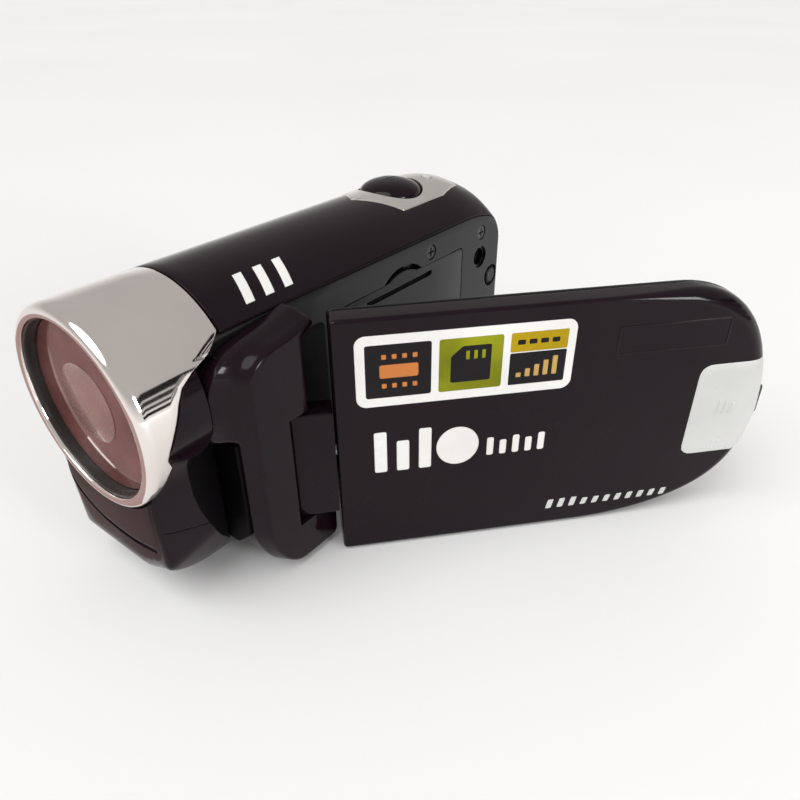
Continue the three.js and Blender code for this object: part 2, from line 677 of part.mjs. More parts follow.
function lcdWindow() {
  return panelSlab(roundedRect(13.9, 77.3, 8.9, 45.9, 1), PANEL_BACK - 0.9, PANEL_BACK - 0.1);
}

function lcdModule() {
  return box(13.2, 78.6, 0.9, COVER_BACK - 0.1, 7.6, 47);
}

function screenBoard() {
  return box(18, 70, -0.3, 0.5, 10, 44);
}

function panelTab() {
  return panelSlab(tabOutline(0), -PANEL_OUT - 0.1, -PANEL_OUT + 0.5)
    .intersect(panelSlab(panelOutline(0.9), -10, 10, 9));
}

function featureLabel() {
  return panelSlab(labelOutline(0), -PANEL_OUT, -PANEL_OUT + 0.25);
}

// Assembly

const camcorder = new THREE.Group();

camcorder.add(
  part("front_shroud", frontShroud(), "chrome"),
  part("front_fairing", frontFairing(), "gloss"),
  part("chin_cover", chinCover(), "gloss"),
  part("lens_window", lensWindow(), "glass"),
  part("lens_mask", lensMask(), "inner"),
  part("lens_barrel", lensBarrel(), "inner"),
  part("front_lens", lens(9.6, -46.5, 1.4, 1.6), "glass"),
  part("lens_retainer", ring("y", [0, AXIS_Z], 9.6, 8, -43.6, -42.2, 20), "steel"),
  part("rear_lens", lens(8, -32, 1.4, 1.1), "glass"),
  part("image_sensor", box(-4.6, 4.6, -22, -20.8, AXIS_Z - 3.6, AXIS_Z + 3.6), "inner"),
  part("sensor_board", box(-10, 10, -20.5, -19.3, AXIS_Z - 10, AXIS_Z + 10), "board"),
);

camcorder.add(
  part("barrel_cover", barrelCover(), "gloss"),
  part("top_cap", topCap(), "silver"),
  part("left_wall", leftWall(), "satin"),
  part("right_shell", rightShell(), "gloss"),
  part("base_pan", basePan(), "satin"),
  part("rear_cover", rearCover(), "gloss"),
  part("grip_panel", gripPanel(), "rubber"),
  part("tripod_bush", tripodBush(), "brass"),
);

for (const [name, at] of Object.entries(WALL_SCREWS)) {
  camcorder.add(part(name, screw("x", at, WALL_X, -1), "steel"));
}
BASE_SCREWS.forEach((at, i) => {
  camcorder.add(part(`base_screw_${i + 1}`, screw("z", at, 0, 1), "steel"));
});

camcorder.add(
  part("hinge_housing", hingeHousing(), "gloss"),
  part("hinge_bracket", hingeBracket(), "steel"),
  part("hinge_pin", hingePin(), "steel"),
);

camcorder.add(
  part("battery_tray", batteryTray(), "inner"),
  part("battery", battery(), "cell"),
  part("battery_contact_plus", batteryContact(34), "brass"),
  part("battery_contact_minus", batteryContact(22), "brass"),
  part("card_socket", cardSocket(), "steel"),
  part("battery_door", batteryDoor(), "satin"),
  part("av_jack", avJack(), "inner"),
  part("usb_socket", usbSocket(), "steel"),
  part("main_board", mainBoard(), "board"),
  part("processor_can", processorCan(), "steel"),
  part("speaker", rod("x", [SPEAKER.y, SPEAKER.z], SPEAKER.r, -16.8, -13.8, 24), "inner"),
  part("microphone", rod("y", [MIC.x, MIC.z], 2, -52, -49, 16), "steel"),
  part("zoom_switch", box(-4, 4, LEVER.y - 4, LEVER.y + 4, 52, 55.2), "inner"),
  part("record_switch", box(RECORD.x - 3, RECORD.x + 3, 53, 58, RECORD.z - 3, RECORD.z + 3), "inner"),
);

camcorder.add(
  part("zoom_lever", zoomLever(), "gloss"),
  part("status_led", statusLed(), "white"),
  part("record_button", roundButton([RECORD.x, RECORD.z], RECORD.r, 0.9), "silver"),
  part("side_button", sideButton(), "satin"),
);
for (const [name, at] of Object.entries(REAR_BUTTONS)) {
  camcorder.add(part(name, roundButton(at, SMALL_BUTTON_R, 0.7), "satin"));
}

const screen = new THREE.Group();
screen.position.set(HINGE_X, HINGE_Y, 0);
screen.rotation.z = THREE.MathUtils.degToRad(90 - REST_OPEN);
screen.add(
  part("swivel_block", swivelBlock(), "gloss"),
  part("swivel_shaft", swivelShaft(), "steel"),
  part("lcd_outer_cover", lcdOuterCover(), "gloss"),
  part("lcd_bezel", lcdBezel(), "satin"),
  part("lcd_window", lcdWindow(), "glass"),
  part("lcd_module", lcdModule(), "inner"),
  part("screen_board", screenBoard(), "board"),
  part("panel_tab", panelTab(), "silver"),
  part("feature_label", featureLabel(), "white"),
);
camcorder.add(screen);

export default camcorder;
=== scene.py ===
import math

import bmesh
import bpy
from mathutils import Matrix, Vector


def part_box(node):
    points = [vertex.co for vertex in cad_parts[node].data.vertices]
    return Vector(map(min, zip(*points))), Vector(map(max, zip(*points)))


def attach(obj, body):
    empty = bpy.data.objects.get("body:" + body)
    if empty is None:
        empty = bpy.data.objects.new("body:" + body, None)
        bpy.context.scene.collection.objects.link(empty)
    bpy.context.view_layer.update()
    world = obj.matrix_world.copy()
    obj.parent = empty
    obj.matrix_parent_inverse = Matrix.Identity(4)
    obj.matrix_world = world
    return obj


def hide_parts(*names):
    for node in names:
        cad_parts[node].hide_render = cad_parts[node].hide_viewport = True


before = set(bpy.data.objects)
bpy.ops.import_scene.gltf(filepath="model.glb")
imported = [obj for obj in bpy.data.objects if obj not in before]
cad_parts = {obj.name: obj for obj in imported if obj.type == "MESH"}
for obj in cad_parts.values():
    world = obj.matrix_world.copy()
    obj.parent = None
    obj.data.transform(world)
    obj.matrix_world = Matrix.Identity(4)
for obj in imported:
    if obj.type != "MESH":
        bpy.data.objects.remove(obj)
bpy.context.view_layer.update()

MM = 0.001

# Driving dimensions, the same as in the CAD
BARREL_R = 19
AXIS_Z = 42
LIP_Y = -58
LIP_BACK_Y = -55.9
SHROUD_BACK_Y = -38.4
SHROUD_RIGHT_Z = 34
SPLIT_Y = -42.55
HOUSING_SEAM_Y = -45.15
SHELL_BACK_Y = 51
REAR_Y = 62
TAIL_R = 27.5
CORNER_R = 5.5
WALL_X = 15.1
BASE_SEAM_Z = 10
SHELL = 1.8
GAP = 0.15

HINGE_X = 19.6
HINGE_Y = -28.9
REST_OPEN = 42
HOUSING_X = 22.4
PANEL_OUT = 1.95
PANEL_NEAR = 7.9
PANEL_FAR = 97.6
PANEL_LOW = 0.3
PANEL_HIGH = 53.3
PARTING_V = 2.7
PANEL_BACK = 4.15

LEVER_Y = 25.6
LED = (2, 37)
JACK = (42.2, 42.2)
SIDE_BUTTON = (47.9, 35.6)
DOOR = (-9.5, 34.1, 12.6, 47)
NOTCH = {"y": 11, "width": 13.7, "height": 2.7, "deep": 0.9}
RECORD = (-2, 35)
REAR_BUTTONS = {
    "power_button": (-6.2, 25.6),
    "mode_button": (2.2, 25.6),
    "menu_button": (-6.2, 19.2),
    "playback_button": (2.2, 19.2),
}


# Mesh helpers

def mesh_object(name, verts, faces):
    mesh = bpy.data.meshes.new(name)
    mesh.from_pydata([Vector(v) * MM for v in verts], [], faces)
    bm = bmesh.new()
    bm.from_mesh(mesh)
    bmesh.ops.remove_doubles(bm, verts=bm.verts, dist=2e-6)
    bmesh.ops.recalc_face_normals(bm, faces=bm.faces)
    bm.to_mesh(mesh)
    bm.free()
    obj = bpy.data.objects.new(name, mesh)
    bpy.context.scene.collection.objects.link(obj)
    return obj


def loft(name, rings, loop=False):
    """Joins closed rings of the same number of points, one after the other."""
    n = len(rings[0])
    verts = [p for ring in rings for p in ring]
    faces = []
    for i in range(len(rings) if loop else len(rings) - 1):
        a = i * n
        b = ((i + 1) % len(rings)) * n
        for j in range(n):
            k = (j + 1) % n
            faces.append((a + j, a + k, b + k, b + j))
    if not loop:
        faces.append(tuple(range(n)))
        faces.append(tuple(range((len(rings) - 1) * n, len(rings) * n)))
    return mesh_object(name, verts, faces)


def finish_piece(obj, body, nodes, material, angle=32):
    obj.data.materials.clear()
    obj.data.materials.append(material)
    obj.data.shade_smooth()
    obj.data.set_sharp_from_angle(angle=math.radians(angle))
    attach(obj, body)
    if nodes:
        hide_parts(*nodes)
    return obj


def apply_modifiers(obj):
    graph = bpy.context.evaluated_depsgraph_get()
    mesh = bpy.data.meshes.new_from_object(obj.evaluated_get(graph))
    obj.modifiers.clear()
    obj.data = mesh


def cut(obj, cutter, operation="DIFFERENCE"):
    modifier = obj.modifiers.new("cut", "BOOLEAN")
    modifier.object = cutter
    modifier.operation = operation
    modifier.solver = "MANIFOLD"
    apply_modifiers(obj)
    bpy.data.objects.remove(cutter)
    return obj


def placed(axis, a, b, along):
    """The point with coordinates a and b across an axis, in x, y, z order, and `along` on it."""
    return {"x": (along, a, b), "y": (a, along, b), "z": (a, b, along)}[axis]


def rod(axis, centre, profile, segments=48):
    """A solid of revolution. The profile is a list of (radius, place along the axis)."""
    rings = []
    for r, along in profile:
        ring = []
        for i in range(segments):
            t = 2 * math.pi * i / segments
            ring.append(placed(axis, centre[0] + r * math.cos(t), centre[1] + r * math.sin(t), along))
        rings.append(ring)
    return loft("rod", rings)


def drill(obj, axis, centre, r, start, end, segments=40):
    return cut(obj, rod(axis, centre, [(r, start), (r, end)], segments))


def prism(axis, outline, start, end):
    rings = [[placed(axis, a, b, along) for a, b in outline] for along in (start, end)]
    return loft("prism", rings)


def bezier(p0, p1, p2, p3, n):
    points = []
    for i in range(n + 1):
        t = i / n
        w = ((1 - t) ** 3, 3 * t * (1 - t) ** 2, 3 * t * t * (1 - t), t ** 3)
        points.append(tuple(sum(w[k] * p[c] for k, p in enumerate((p0, p1, p2, p3))) for c in (0, 1)))
    return points


def quadratic(p0, p1, p2, n):
    middle = [tuple(p[c] + (p1[c] - p[c]) * 2 / 3 for c in (0, 1)) for p in (p0, p2)]
    return bezier(p0, middle[0], middle[1], p2, n)


def rounded_rect(a0, a1, b0, b1, r, n=6):
    corners = [(a1 - r, b0 + r, -90), (a1 - r, b1 - r, 0), (a0 + r, b1 - r, 90), (a0 + r, b0 + r, 180)]
    points = []
    for a, b, start in corners:
        for i in range(n + 1):
            t = math.radians(start + 90 * i / n)
            points.append((a + r * math.cos(t), b + r * math.sin(t)))
    return points


def rounded_polygon(points, r, n=5):
    """Rounds every corner of a polygon with a fillet of about r."""
    result = []
    count = len(points)
    for i, p in enumerate(points):
        p = Vector(p)
        before = Vector(points[i - 1]) - p
        after = Vector(points[(i + 1) % count]) - p
        reach = min(r, before.length * 0.45, after.length * 0.45)
        a = p + before.normalized() * reach
        b = p + after.normalized() * reach
        result += quadratic(tuple(a), tuple(p), tuple(b), n)
    return result


def inset(outline, distance):
    """Moves a closed outline inwards. The distance is one number or one for each point."""
    count = len(outline)
    area = sum(outline[i - 1][0] * outline[i][1] - outline[i][0] * outline[i - 1][1] for i in range(count))
    side = 1 if area > 0 else -1
    moved = []
    for i in range(count):
        d = distance if isinstance(distance, (int, float)) else distance[i]
        p = Vector(outline[i])
        before = (p - Vector(outline[i - 1])).normalized()
        after = (Vector(outline[(i + 1) % count]) - p).normalized()
        normal = Vector((-(before.y + after.y), before.x + after.x)).normalized() * side
        cosine = max(0.5, normal.dot(Vector((-after.y, after.x)) * side))
        moved.append(tuple(p + normal * (d / cosine)))
    return moved


def plate(name, outline, place, levels):
    """A plate with shaped edges. Levels are (inset, height) pairs, from one face to the other."""
    return loft(name, [[place(a, b, h) for a, b in inset(outline, d)] for d, h in levels])


def soft_levels(low, high, r, back_r=0.0, n=4):
    """Levels of a plate whose edge is rounded at the high face, and at the low face if back_r is given."""
    levels = [(0, low)]
    if back_r:
        levels = [(back_r * (1 - math.sin(t)), low + back_r * (1 - math.cos(t)))
                  for t in (math.pi / 2 * i / n for i in range(n + 1))]
    top = high - math.copysign(r, high - low)
    for i in range(n + 1):
        t = math.pi / 2 * i / n
        levels.append((r * (1 - math.cos(t)), top + math.sin(t) * (high - top)))
    return levels


def smoothstep(a, b, x):
    t = min(1, max(0, (x - a) / (b - a)))
    return t * t * (3 - 2 * t)


def interpolate(points, x):
    """Smooth value at x through (x, value) points in rising x."""
    if x <= points[0][0]:
        return points[0][1]
    for (x0, v0), (x1, v1) in zip(points, points[1:]):
        if x <= x1:
            t = (x - x0) / (x1 - x0)
            return v0 + (v1 - v0) * t
    return points[-1][1]


# Materials

def new_material(name):
    material = bpy.data.materials.new(name)
    material.use_nodes = True
    return material, material.node_tree, material.node_tree.nodes["Principled BSDF"]


def add_node(tree, kind, **values):
    node = tree.nodes.new(kind)
    for key, value in values.items():
        if key in node.inputs:
            node.inputs[key].default_value = value
        else:
            setattr(node, key, value)
    return node


def noise(tree, scale, detail=3, stretch=(1, 1, 1)):
    """Noise in the piece's own coordinates, in features per metre."""
    place = add_node(tree, "ShaderNodeTexCoord")
    mapping = add_node(tree, "ShaderNodeMapping")
    mapping.inputs["Scale"].default_value = stretch
    texture = add_node(tree, "ShaderNodeTexNoise", Scale=scale, Detail=detail)
    tree.links.new(place.outputs["Object"], mapping.inputs["Vector"])
    tree.links.new(mapping.outputs["Vector"], texture.inputs["Vector"])
    return texture.outputs["Fac"]


def spread(tree, value, low, high, start=0.3, end=0.7):
    node = add_node(tree, "ShaderNodeMapRange")
    tree.links.new(value, node.inputs["Value"])
    for key, number in (("From Min", start), ("From Max", end), ("To Min", low), ("To Max", high)):
        node.inputs[key].default_value = number
    return node.outputs["Result"]


def mixed(tree, value, a, b):
    node = add_node(tree, "ShaderNodeMix", data_type="RGBA")
    tree.links.new(value, node.inputs["Factor"])
    node.inputs["A"].default_value = (*a, 1)
    node.inputs["B"].default_value = (*b, 1)
    return node.outputs["Result"]


def bump(tree, height, strength, distance, edge=0.0):
    node = add_node(tree, "ShaderNodeBump", Strength=strength, Distance=distance)
    tree.links.new(height, node.inputs["Height"])
    if edge:
        bevel = add_node(tree, "ShaderNodeBevel", Radius=edge)
        bevel.samples = 6
        tree.links.new(bevel.outputs["Normal"], node.inputs["Normal"])
    return node.outputs["Normal"]


def surface(name, dark, light, rough, metallic=0.0, coat=0.0, grain=(2600, 0.05, 1e-5), edge=2.5e-4,
            specular=0.5, stretch=(1, 1, 1)):
    """A moulded, painted or plated surface: mottled colour, uneven gloss, fine grain and softened edges."""
    material, tree, shader = new_material(name)
    mottle = noise(tree, 55, 4)
    tree.links.new(mixed(tree, spread(tree, mottle, 0, 1), dark, light), shader.inputs["Base Color"])
    smudge = noise(tree, 130, 6, stretch)
    tree.links.new(spread(tree, smudge, rough[0], rough[1]), shader.inputs["Roughness"])
    shader.inputs["Metallic"].default_value = metallic
    shader.inputs["Specular IOR Level"].default_value = specular
    if coat:
        shader.inputs["Coat Weight"].default_value = coat
        shader.inputs["Coat Roughness"].default_value = 0.06
    fine = noise(tree, grain[0], 2, stretch)
    tree.links.new(bump(tree, fine, grain[1], grain[2], edge), shader.inputs["Normal"])
    return material


def chrome_surface():
    """Plated plastic: a mirror with the slow waviness of the moulding under it and faint wipe marks."""
    material, tree, shader = new_material("plated_plastic")
    tint = spread(tree, noise(tree, 40, 3), 0, 1)
    tree.links.new(mixed(tree, tint, (0.78, 0.72, 0.69), (0.86, 0.81, 0.775)), shader.inputs["Base Color"])
    wipes = noise(tree, 300, 5, (1, 0.15, 1))
    tree.links.new(spread(tree, wipes, 0.03, 0.10), shader.inputs["Roughness"])
    shader.inputs["Metallic"].default_value = 1
    wave = noise(tree, 90, 1)
    tree.links.new(bump(tree, wave, 0.25, 4e-5, 2.5e-4), shader.inputs["Normal"])
    return material


def glass_surface(name, dark, light, rough):
    material, tree, shader = new_material(name)
    cloud = spread(tree, noise(tree, 110, 4), 0, 1, 0.35, 0.65)
    tree.links.new(mixed(tree, cloud, dark, light), shader.inputs["Base Color"])
    dust = noise(tree, 2200, 3)
    tree.links.new(spread(tree, dust, rough, rough + 0.12, 0.45, 0.8), shader.inputs["Roughness"])
    shader.inputs["Specular IOR Level"].default_value = 0.5
    shader.inputs["Coat Weight"].default_value = 0.3
    shader.inputs["Coat Roughness"].default_value = 0.04
    tree.links.new(bump(tree, noise(tree, 60, 1), 0.08, 2e-5), shader.inputs["Normal"])
    return material


BLACK_GLOSS = surface("gloss_moulding", (0.0062, 0.0026, 0.0046), (0.0095, 0.0042, 0.0072), (0.06, 0.17),
                      specular=0.17)
BLACK_SATIN = surface("satin_moulding", (0.0042, 0.0036, 0.004), (0.007, 0.006, 0.0066), (0.12, 0.24),
                      grain=(3200, 0.15, 1.2e-5), specular=0.3)
BLACK_DULL = surface("dull_moulding", (0.006, 0.006, 0.007), (0.012, 0.011, 0.013), (0.45, 0.65),
                     grain=(2400, 0.3, 3e-5), specular=0.15)
# Near-black for sheets put where there is only shade: painted shade in the hinge recess and behind the screen's hinged
# end.
PAINTED_SHADE_BLACK = surface("painted_shade_black", (0.0012, 0.0008, 0.0012), (0.0026, 0.0018, 0.0026), (0.35, 0.55),
                       grain=(2400, 0.2, 2e-5), specular=0.06)
LENS_RING = surface("lens_ring", (0.022, 0.018, 0.016), (0.045, 0.037, 0.034), (0.18, 0.32), specular=0.35)
CHROME = chrome_surface()
SILVER = surface("silver_paint", (0.60, 0.605, 0.59), (0.70, 0.705, 0.69), (0.26, 0.42), metallic=0.35,
                 grain=(4200, 0.18, 1.2e-5))
CAP_METAL = surface("cap_plating", (0.62, 0.60, 0.56), (0.74, 0.72, 0.68), (0.12, 0.26), metallic=0.9)
DARK_STEEL = surface("dark_steel", (0.05, 0.05, 0.052), (0.11, 0.11, 0.112), (0.3, 0.5), metallic=0.9,
                     stretch=(1, 1, 0.2))
STEEL = surface("plain_steel", (0.32, 0.32, 0.33), (0.45, 0.45, 0.46), (0.25, 0.42), metallic=1,
                stretch=(1, 0.2, 1))
BRASS = surface("plain_brass", (0.50, 0.36, 0.16), (0.64, 0.49, 0.25), (0.22, 0.38), metallic=1)
BOARD = surface("solder_mask", (0.012, 0.09, 0.035), (0.02, 0.14, 0.055), (0.28, 0.45), grain=(1500, 0.4, 5e-5))
RUBBER = surface("grip_rubber", (0.012, 0.012, 0.012), (0.022, 0.022, 0.022), (0.6, 0.8), grain=(1800, 0.5, 6e-5))
CELL = surface("cell_wrap", (0.05, 0.10, 0.17), (0.08, 0.14, 0.22), (0.3, 0.45))
WHITE_PRINT = surface("white_print", (0.74, 0.73, 0.71), (0.84, 0.83, 0.81), (0.22, 0.34), grain=(3000, 0.1, 1e-5))
BLACK_PRINT = surface("black_print", (0.006, 0.004, 0.006), (0.010, 0.007, 0.009), (0.15, 0.26), specular=0.18)
GREEN_PRINT = surface("green_print", (0.10, 0.105, 0.004), (0.32, 0.34, 0.010), (0.18, 0.30), specular=0.12)
YELLOW_PRINT = surface("yellow_print", (0.34, 0.235, 0.003), (0.48, 0.33, 0.006), (0.18, 0.30), specular=0.12)
ORANGE_PRINT = surface("orange_print", (0.52, 0.17, 0.045), (0.62, 0.23, 0.06), (0.25, 0.38), specular=0.15)
GOLD_PRINT = surface("gold_print", (0.45, 0.28, 0.06), (0.58, 0.38, 0.10), (0.25, 0.38))
WARM_CARD = surface("warm_card", (0.40, 0.27, 0.26), (0.46, 0.32, 0.30), (0.7, 0.9))
INDICATOR = surface("light_pipe", (0.55, 0.55, 0.52), (0.70, 0.70, 0.66), (0.12, 0.22))
# The window's reddish brown is partly the glass's own dark tint and partly painted reflection of the warm
# surroundings. The lighter pinkish centre disc is partly the lens seen through the clear centre and partly the same
# painted reflection.
WINDOW = glass_surface("window_tint_and_painted_reflection", (0.105, 0.034, 0.032), (0.17, 0.066, 0.060), 0.05)
WINDOW_DISC = glass_surface("centre_disc_lens_and_painted_reflection", (0.21, 0.115, 0.107), (0.30, 0.17, 0.155), 0.22)
SCREEN_GLASS = glass_surface("screen_glass", (0.006, 0.007, 0.009), (0.012, 0.013, 0.016), 0.05)
LENS = glass_surface("lens_glass", (0.02, 0.012, 0.03), (0.05, 0.02, 0.06), 0.04)


# Body sections. The section's left side is flat and its top is the barrel, which falls away to the rear.

def tail_height(y):
    start = REAR_Y - TAIL_R
    if y <= start:
        return AXIS_Z + BARREL_R
    return AXIS_Z + BARREL_R - TAIL_R + math.sqrt(TAIL_R ** 2 - (y - start) ** 2)


def barrel_rise(y):
    return (tail_height(y) - AXIS_Z) / BARREL_R


def corner_drop(y):
    """How far the wall's upper edge has rounded down at the rear."""
    inside = min(1, max(0, (y - (SHELL_BACK_Y - CORNER_R)) / CORNER_R))
    return CORNER_R * (1 - math.sqrt(1 - 0.98 * inside ** 2))


def underside(y):
    """Height of the lowest skin, which sweeps up towards the chin."""
    if y >= -33:
        return 0
    curve = quadratic((-33, 0), (-46, 1.5), (-55.1, 10.4), 24)
    return interpolate(sorted((z, h) for z, h in ((-p[0], p[1]) for p in curve)), -y)


CREASE_ANGLE = math.asin(WALL_X / BARREL_R)


def barrel_line(y, start=CREASE_ANGLE, end=-math.pi / 2, n=56):
    line = []
    for i in range(n + 1):
        t = start + (end - start) * i / n
        x = BARREL_R * math.sin(t)
        z = AXIS_Z + BARREL_R * math.cos(t) * barrel_rise(y)
        line.append((x, z - corner_drop(y) * smoothstep(3, WALL_X, x)))
    return line


def wall_top(y):
    return AXIS_Z + BARREL_R * math.cos(CREASE_ANGLE) * barrel_rise(y) - corner_drop(y)


def wall_line(y):
    top = wall_top(y) - 0.25
    heights = [BASE_SEAM_Z + GAP, 11, 12, 16, 22, 30] + [30 + (top - 30) * f for f in (0.3, 0.55, 0.75, 0.92, 1)]
    return [(WALL_X - 0.03 * max(0, 12 - z), z) for z in heights]


def right_line(y):
    points = [(-BARREL_R, AXIS_Z - GAP), (-BARREL_R, 36), (-BARREL_R, 28), (-BARREL_R, 20)]
    foot = bezier((-BARREL_R, 20), (-BARREL_R, 7), (-15, 0), (-8, 0), 24)
    return points + [p for p in foot[1:] if p[1] > BASE_SEAM_Z + 0.6] + [(-18.15, BASE_SEAM_Z + GAP)]


def base_line(y):
    low = underside(y)
    right = [p for p in bezier((-BARREL_R, 20), (-BARREL_R, 7), (-15, 0), (-8, 0), 24)
             if p[1] < BASE_SEAM_Z - 0.6]
    left = [p for p in bezier((4, 0), (7.5, 1), (WALL_X, 5.5), (WALL_X, 12), 20)
            if p[1] < BASE_SEAM_Z - 0.6]
    line = [(-18.1, BASE_SEAM_Z - GAP)] + right + [(-4, 0), (0, 0)] + left + [(15.0, BASE_SEAM_Z - GAP)]
    result = []
    for x, z in line:
        z = low + z * (BASE_SEAM_Z - low) / BASE_SEAM_Z
        nose_x = max(x, nose_right(z)) if x < 0 else min(x, nose_left(z))
        result.append((nose_x + (x - nose_x) * smoothstep(-42, -34, y), z))
    return result


def strip(name, line, y0, y1, stations, thick=SHELL, edge=0.3):
    """A curved shell between two places along Y, with softened edges. `line` gives its outer line at y."""
    places = [(y0, edge), (y0 + 0.3 * edge, 0.3 * edge), (y0 + edge, 0)]
    places += [(y, 0) for y in stations if y0 + 1.5 * edge < y < y1 - 1.5 * edge]
    places += [(y1 - edge, 0), (y1 - 0.3 * edge, 0.3 * edge), (y1, edge)]
    rings = []
    for y, shrink in places:
        outer = [Vector(p) for p in line(y)]
        normals = line_normals(outer)
        count = len(outer)
        first = (outer[1] - outer[0]).normalized()
        last = (outer[-2] - outer[-1]).normalized()
        ring = [outer[0] - normals[0] * max(edge, shrink + 0.01)]
        ring.append(outer[0] + first * 0.3 * edge - normals[0] * max(0.3 * edge, shrink))
        ring.append(outer[0] + first * edge - normals[0] * shrink)
        ring += [outer[i] - normals[i] * shrink for i in range(1, count - 1)]
        ring.append(outer[-1] + last * edge - normals[-1] * shrink)
        ring.append(outer[-1] + last * 0.3 * edge - normals[-1] * max(0.3 * edge, shrink))
        ring.append(outer[-1] - normals[-1] * max(edge, shrink + 0.01))
        ring += [outer[i] - normals[i] * thick for i in range(count - 1, -1, -1)]
        rings.append([(p.x, y, p.y) for p in ring])
    return loft(name, rings)


def line_normals(points):
    """Outward normals of an open line that goes round the body's middle."""
    middle = Vector((0, 30))
    normals = []
    for i, p in enumerate(points):
        a = points[max(0, i - 1)]
        b = points[min(len(points) - 1, i + 1)]
        along = (b - a).normalized()
        normal = Vector((-along.y, along.x))
        if normal.dot(p - middle) < 0:
            normal = -normal
        normals.append(normal)
    return normals


def along_body(y0, y1, step=3):
    return [y0 + step * i for i in range(int((y1 - y0) / step) + 1)]


# Front

SHROUD_EDGE = [(29.5, -55.85), (32, -55.1), (34.2, -54.3), (36.15, -53.4), (38.4, -54.3), (40, -53.75),
               (42.5, -52.55), (44.8, -51.3), (47, -50.2), (48.9, -48.7), (50.4, -45.8), (51.6, -42), (52.9, -40),
               (54, -38.5)]


def shroud_back(t):
    """Where the shroud ends, at the angle t from the top towards the screen's side."""
    z = AXIS_Z + BARREL_R * math.cos(t)
    if math.sin(t) > 0:
        return interpolate(SHROUD_EDGE, z)
    return LIP_BACK_Y + (SHROUD_BACK_Y - LIP_BACK_Y) * smoothstep(SHROUD_RIGHT_Z - 0.5, SHROUD_RIGHT_Z + 0.5, z)


def around(radius_and_place, n=320):
    """Rings round the lens axis. The argument gives the closed (radius, y) profile at an angle."""
    rings = []
    for i in range(n):
        t = 2 * math.pi * i / n
        rings.append([(r * math.sin(t), y, AXIS_Z + r * math.cos(t)) for r, y in radius_and_place(t)])
    return rings


def shroud_profile(t):
    back = shroud_back(t)
    lip = [(16.6, LIP_BACK_Y), (16.6, -57.5), (16.72, -57.82), (17.0, -57.97), (17.4, LIP_Y), (17.8, -57.96),
           (18.25, -57.75), (18.62, -57.35), (18.85, -56.85), (BARREL_R, -56.2)]
    tube = [(BARREL_R, -56.2 + (back - 0.3 + 56.2) * f) for f in (0.08, 0.25, 0.5, 0.75, 1)]
    rim = [(BARREL_R - 0.08, back - 0.08), (BARREL_R - 0.3, back), (17.6, back)]
    inside = [(17.6, back + (LIP_BACK_Y - back) * f) for f in (0.5, 1)]
    return lip + tube + rim + inside


def front_shroud():
    piece = loft("shroud_shell", around(shroud_profile), loop=True)
    return finish_piece(piece, "body", ["front_shroud"], CHROME, 40)


def shroud_room(away=0.25):
    """The room that the shroud and what is inside it take up, as a solid for cutting its neighbours."""
    def profile(t):
        back = shroud_back(t) + away
        return [(0.01, LIP_Y - 2), (BARREL_R + away, LIP_Y - 2), (BARREL_R + away, back), (0.01, back)]

    return loft("shroud_room", around(profile), loop=True)


NOSE_TOP = 54


def nose_front(z):
    curve = [(-p[1], p[0]) for p in quadratic((-55.1, 10.4), (-46, 1.5), (-33, 0), 24)]
    if z >= 24:
        return -56.8
    if z >= 13:
        return -56.4 - 0.4 * (z - 13) / 11
    if z >= 10.4:
        return -55.1 - 1.3 * math.sin(math.pi / 2 * (z - 10.4) / 2.6)
    return interpolate(curve, -z)


def nose_left(z):
    if z >= 35.5:
        return math.sqrt(BARREL_R ** 2 - (z - AXIS_Z) ** 2) - 0.05
    if z >= 18:
        return 15.8 + 2.0 * (z - 18) / 17.5
    return interpolate([(p[0], p[1]) for p in bezier((0, 4), (1, 7), (8, 13), (18, 15.8), 24)], z)


def nose_right(z):
    if z >= AXIS_Z:
        return -math.sqrt(BARREL_R ** 2 - (z - AXIS_Z) ** 2) + 0.1
    if z >= 20:
        return -BARREL_R + 0.1
    return interpolate([(p[0], p[1]) for p in bezier((0, -8), (0, -15), (7, -19), (20, -18.9), 24)], z)


def nose_flank(y, z, side):
    """The nose's half width: its flanks close in towards the front, below the barrel."""
    widest = nose_left(z) if side > 0 else nose_right(z)
    at_front, at_back = (13.1, 15.9) if side > 0 else (-15.5, -19.1)
    narrow = at_front + (y + 60) * (at_back - at_front) / 18.5
    narrow += (widest - narrow) * smoothstep(30, 41, z)
    return min(widest, narrow) if side > 0 else max(widest, narrow)


def chin_hang(x, z):
    """How much lower the chin's lower front edge is away from the screen's side."""
    return 3.2 * smoothstep(2.2, 8, z) * (1 - smoothstep(4, 13, x))


def nose_ring(z):
    """One level slice of the nose, in (x, y): flanks that close in towards a blunt front."""
    front = nose_front(z)
    low_front = nose_front(z + chin_hang(-15, z))
    steps = 8
    places = [SPLIT_Y + (front + 1.4 - SPLIT_Y) * i / steps for i in range(steps + 1)]
    ring = [(nose_flank(y, z, 1), y) for y in places]
    corner = (nose_flank(front, z, 1), front)
    ring += quadratic(ring[-1], corner, (corner[0] - 1.2, front), 5)[1:]
    other = (nose_flank(low_front, z, -1), low_front)
    edge = (other[0] + 2.6, low_front)
    start = ring[-1][0]
    across = [start + (edge[0] - start) * i / 12 for i in range(1, 12)]
    ring += [(x, nose_front(z + chin_hang(x, z))) for x in across] + [edge]
    ring += quadratic(edge, other, (nose_flank(low_front + 2.6, z, -1), low_front + 2.6), 6)[1:]
    ring += [(nose_flank(y, z, -1), y) for y in reversed(places[:-2])]
    return [(x, y, z) for x, y in ring]


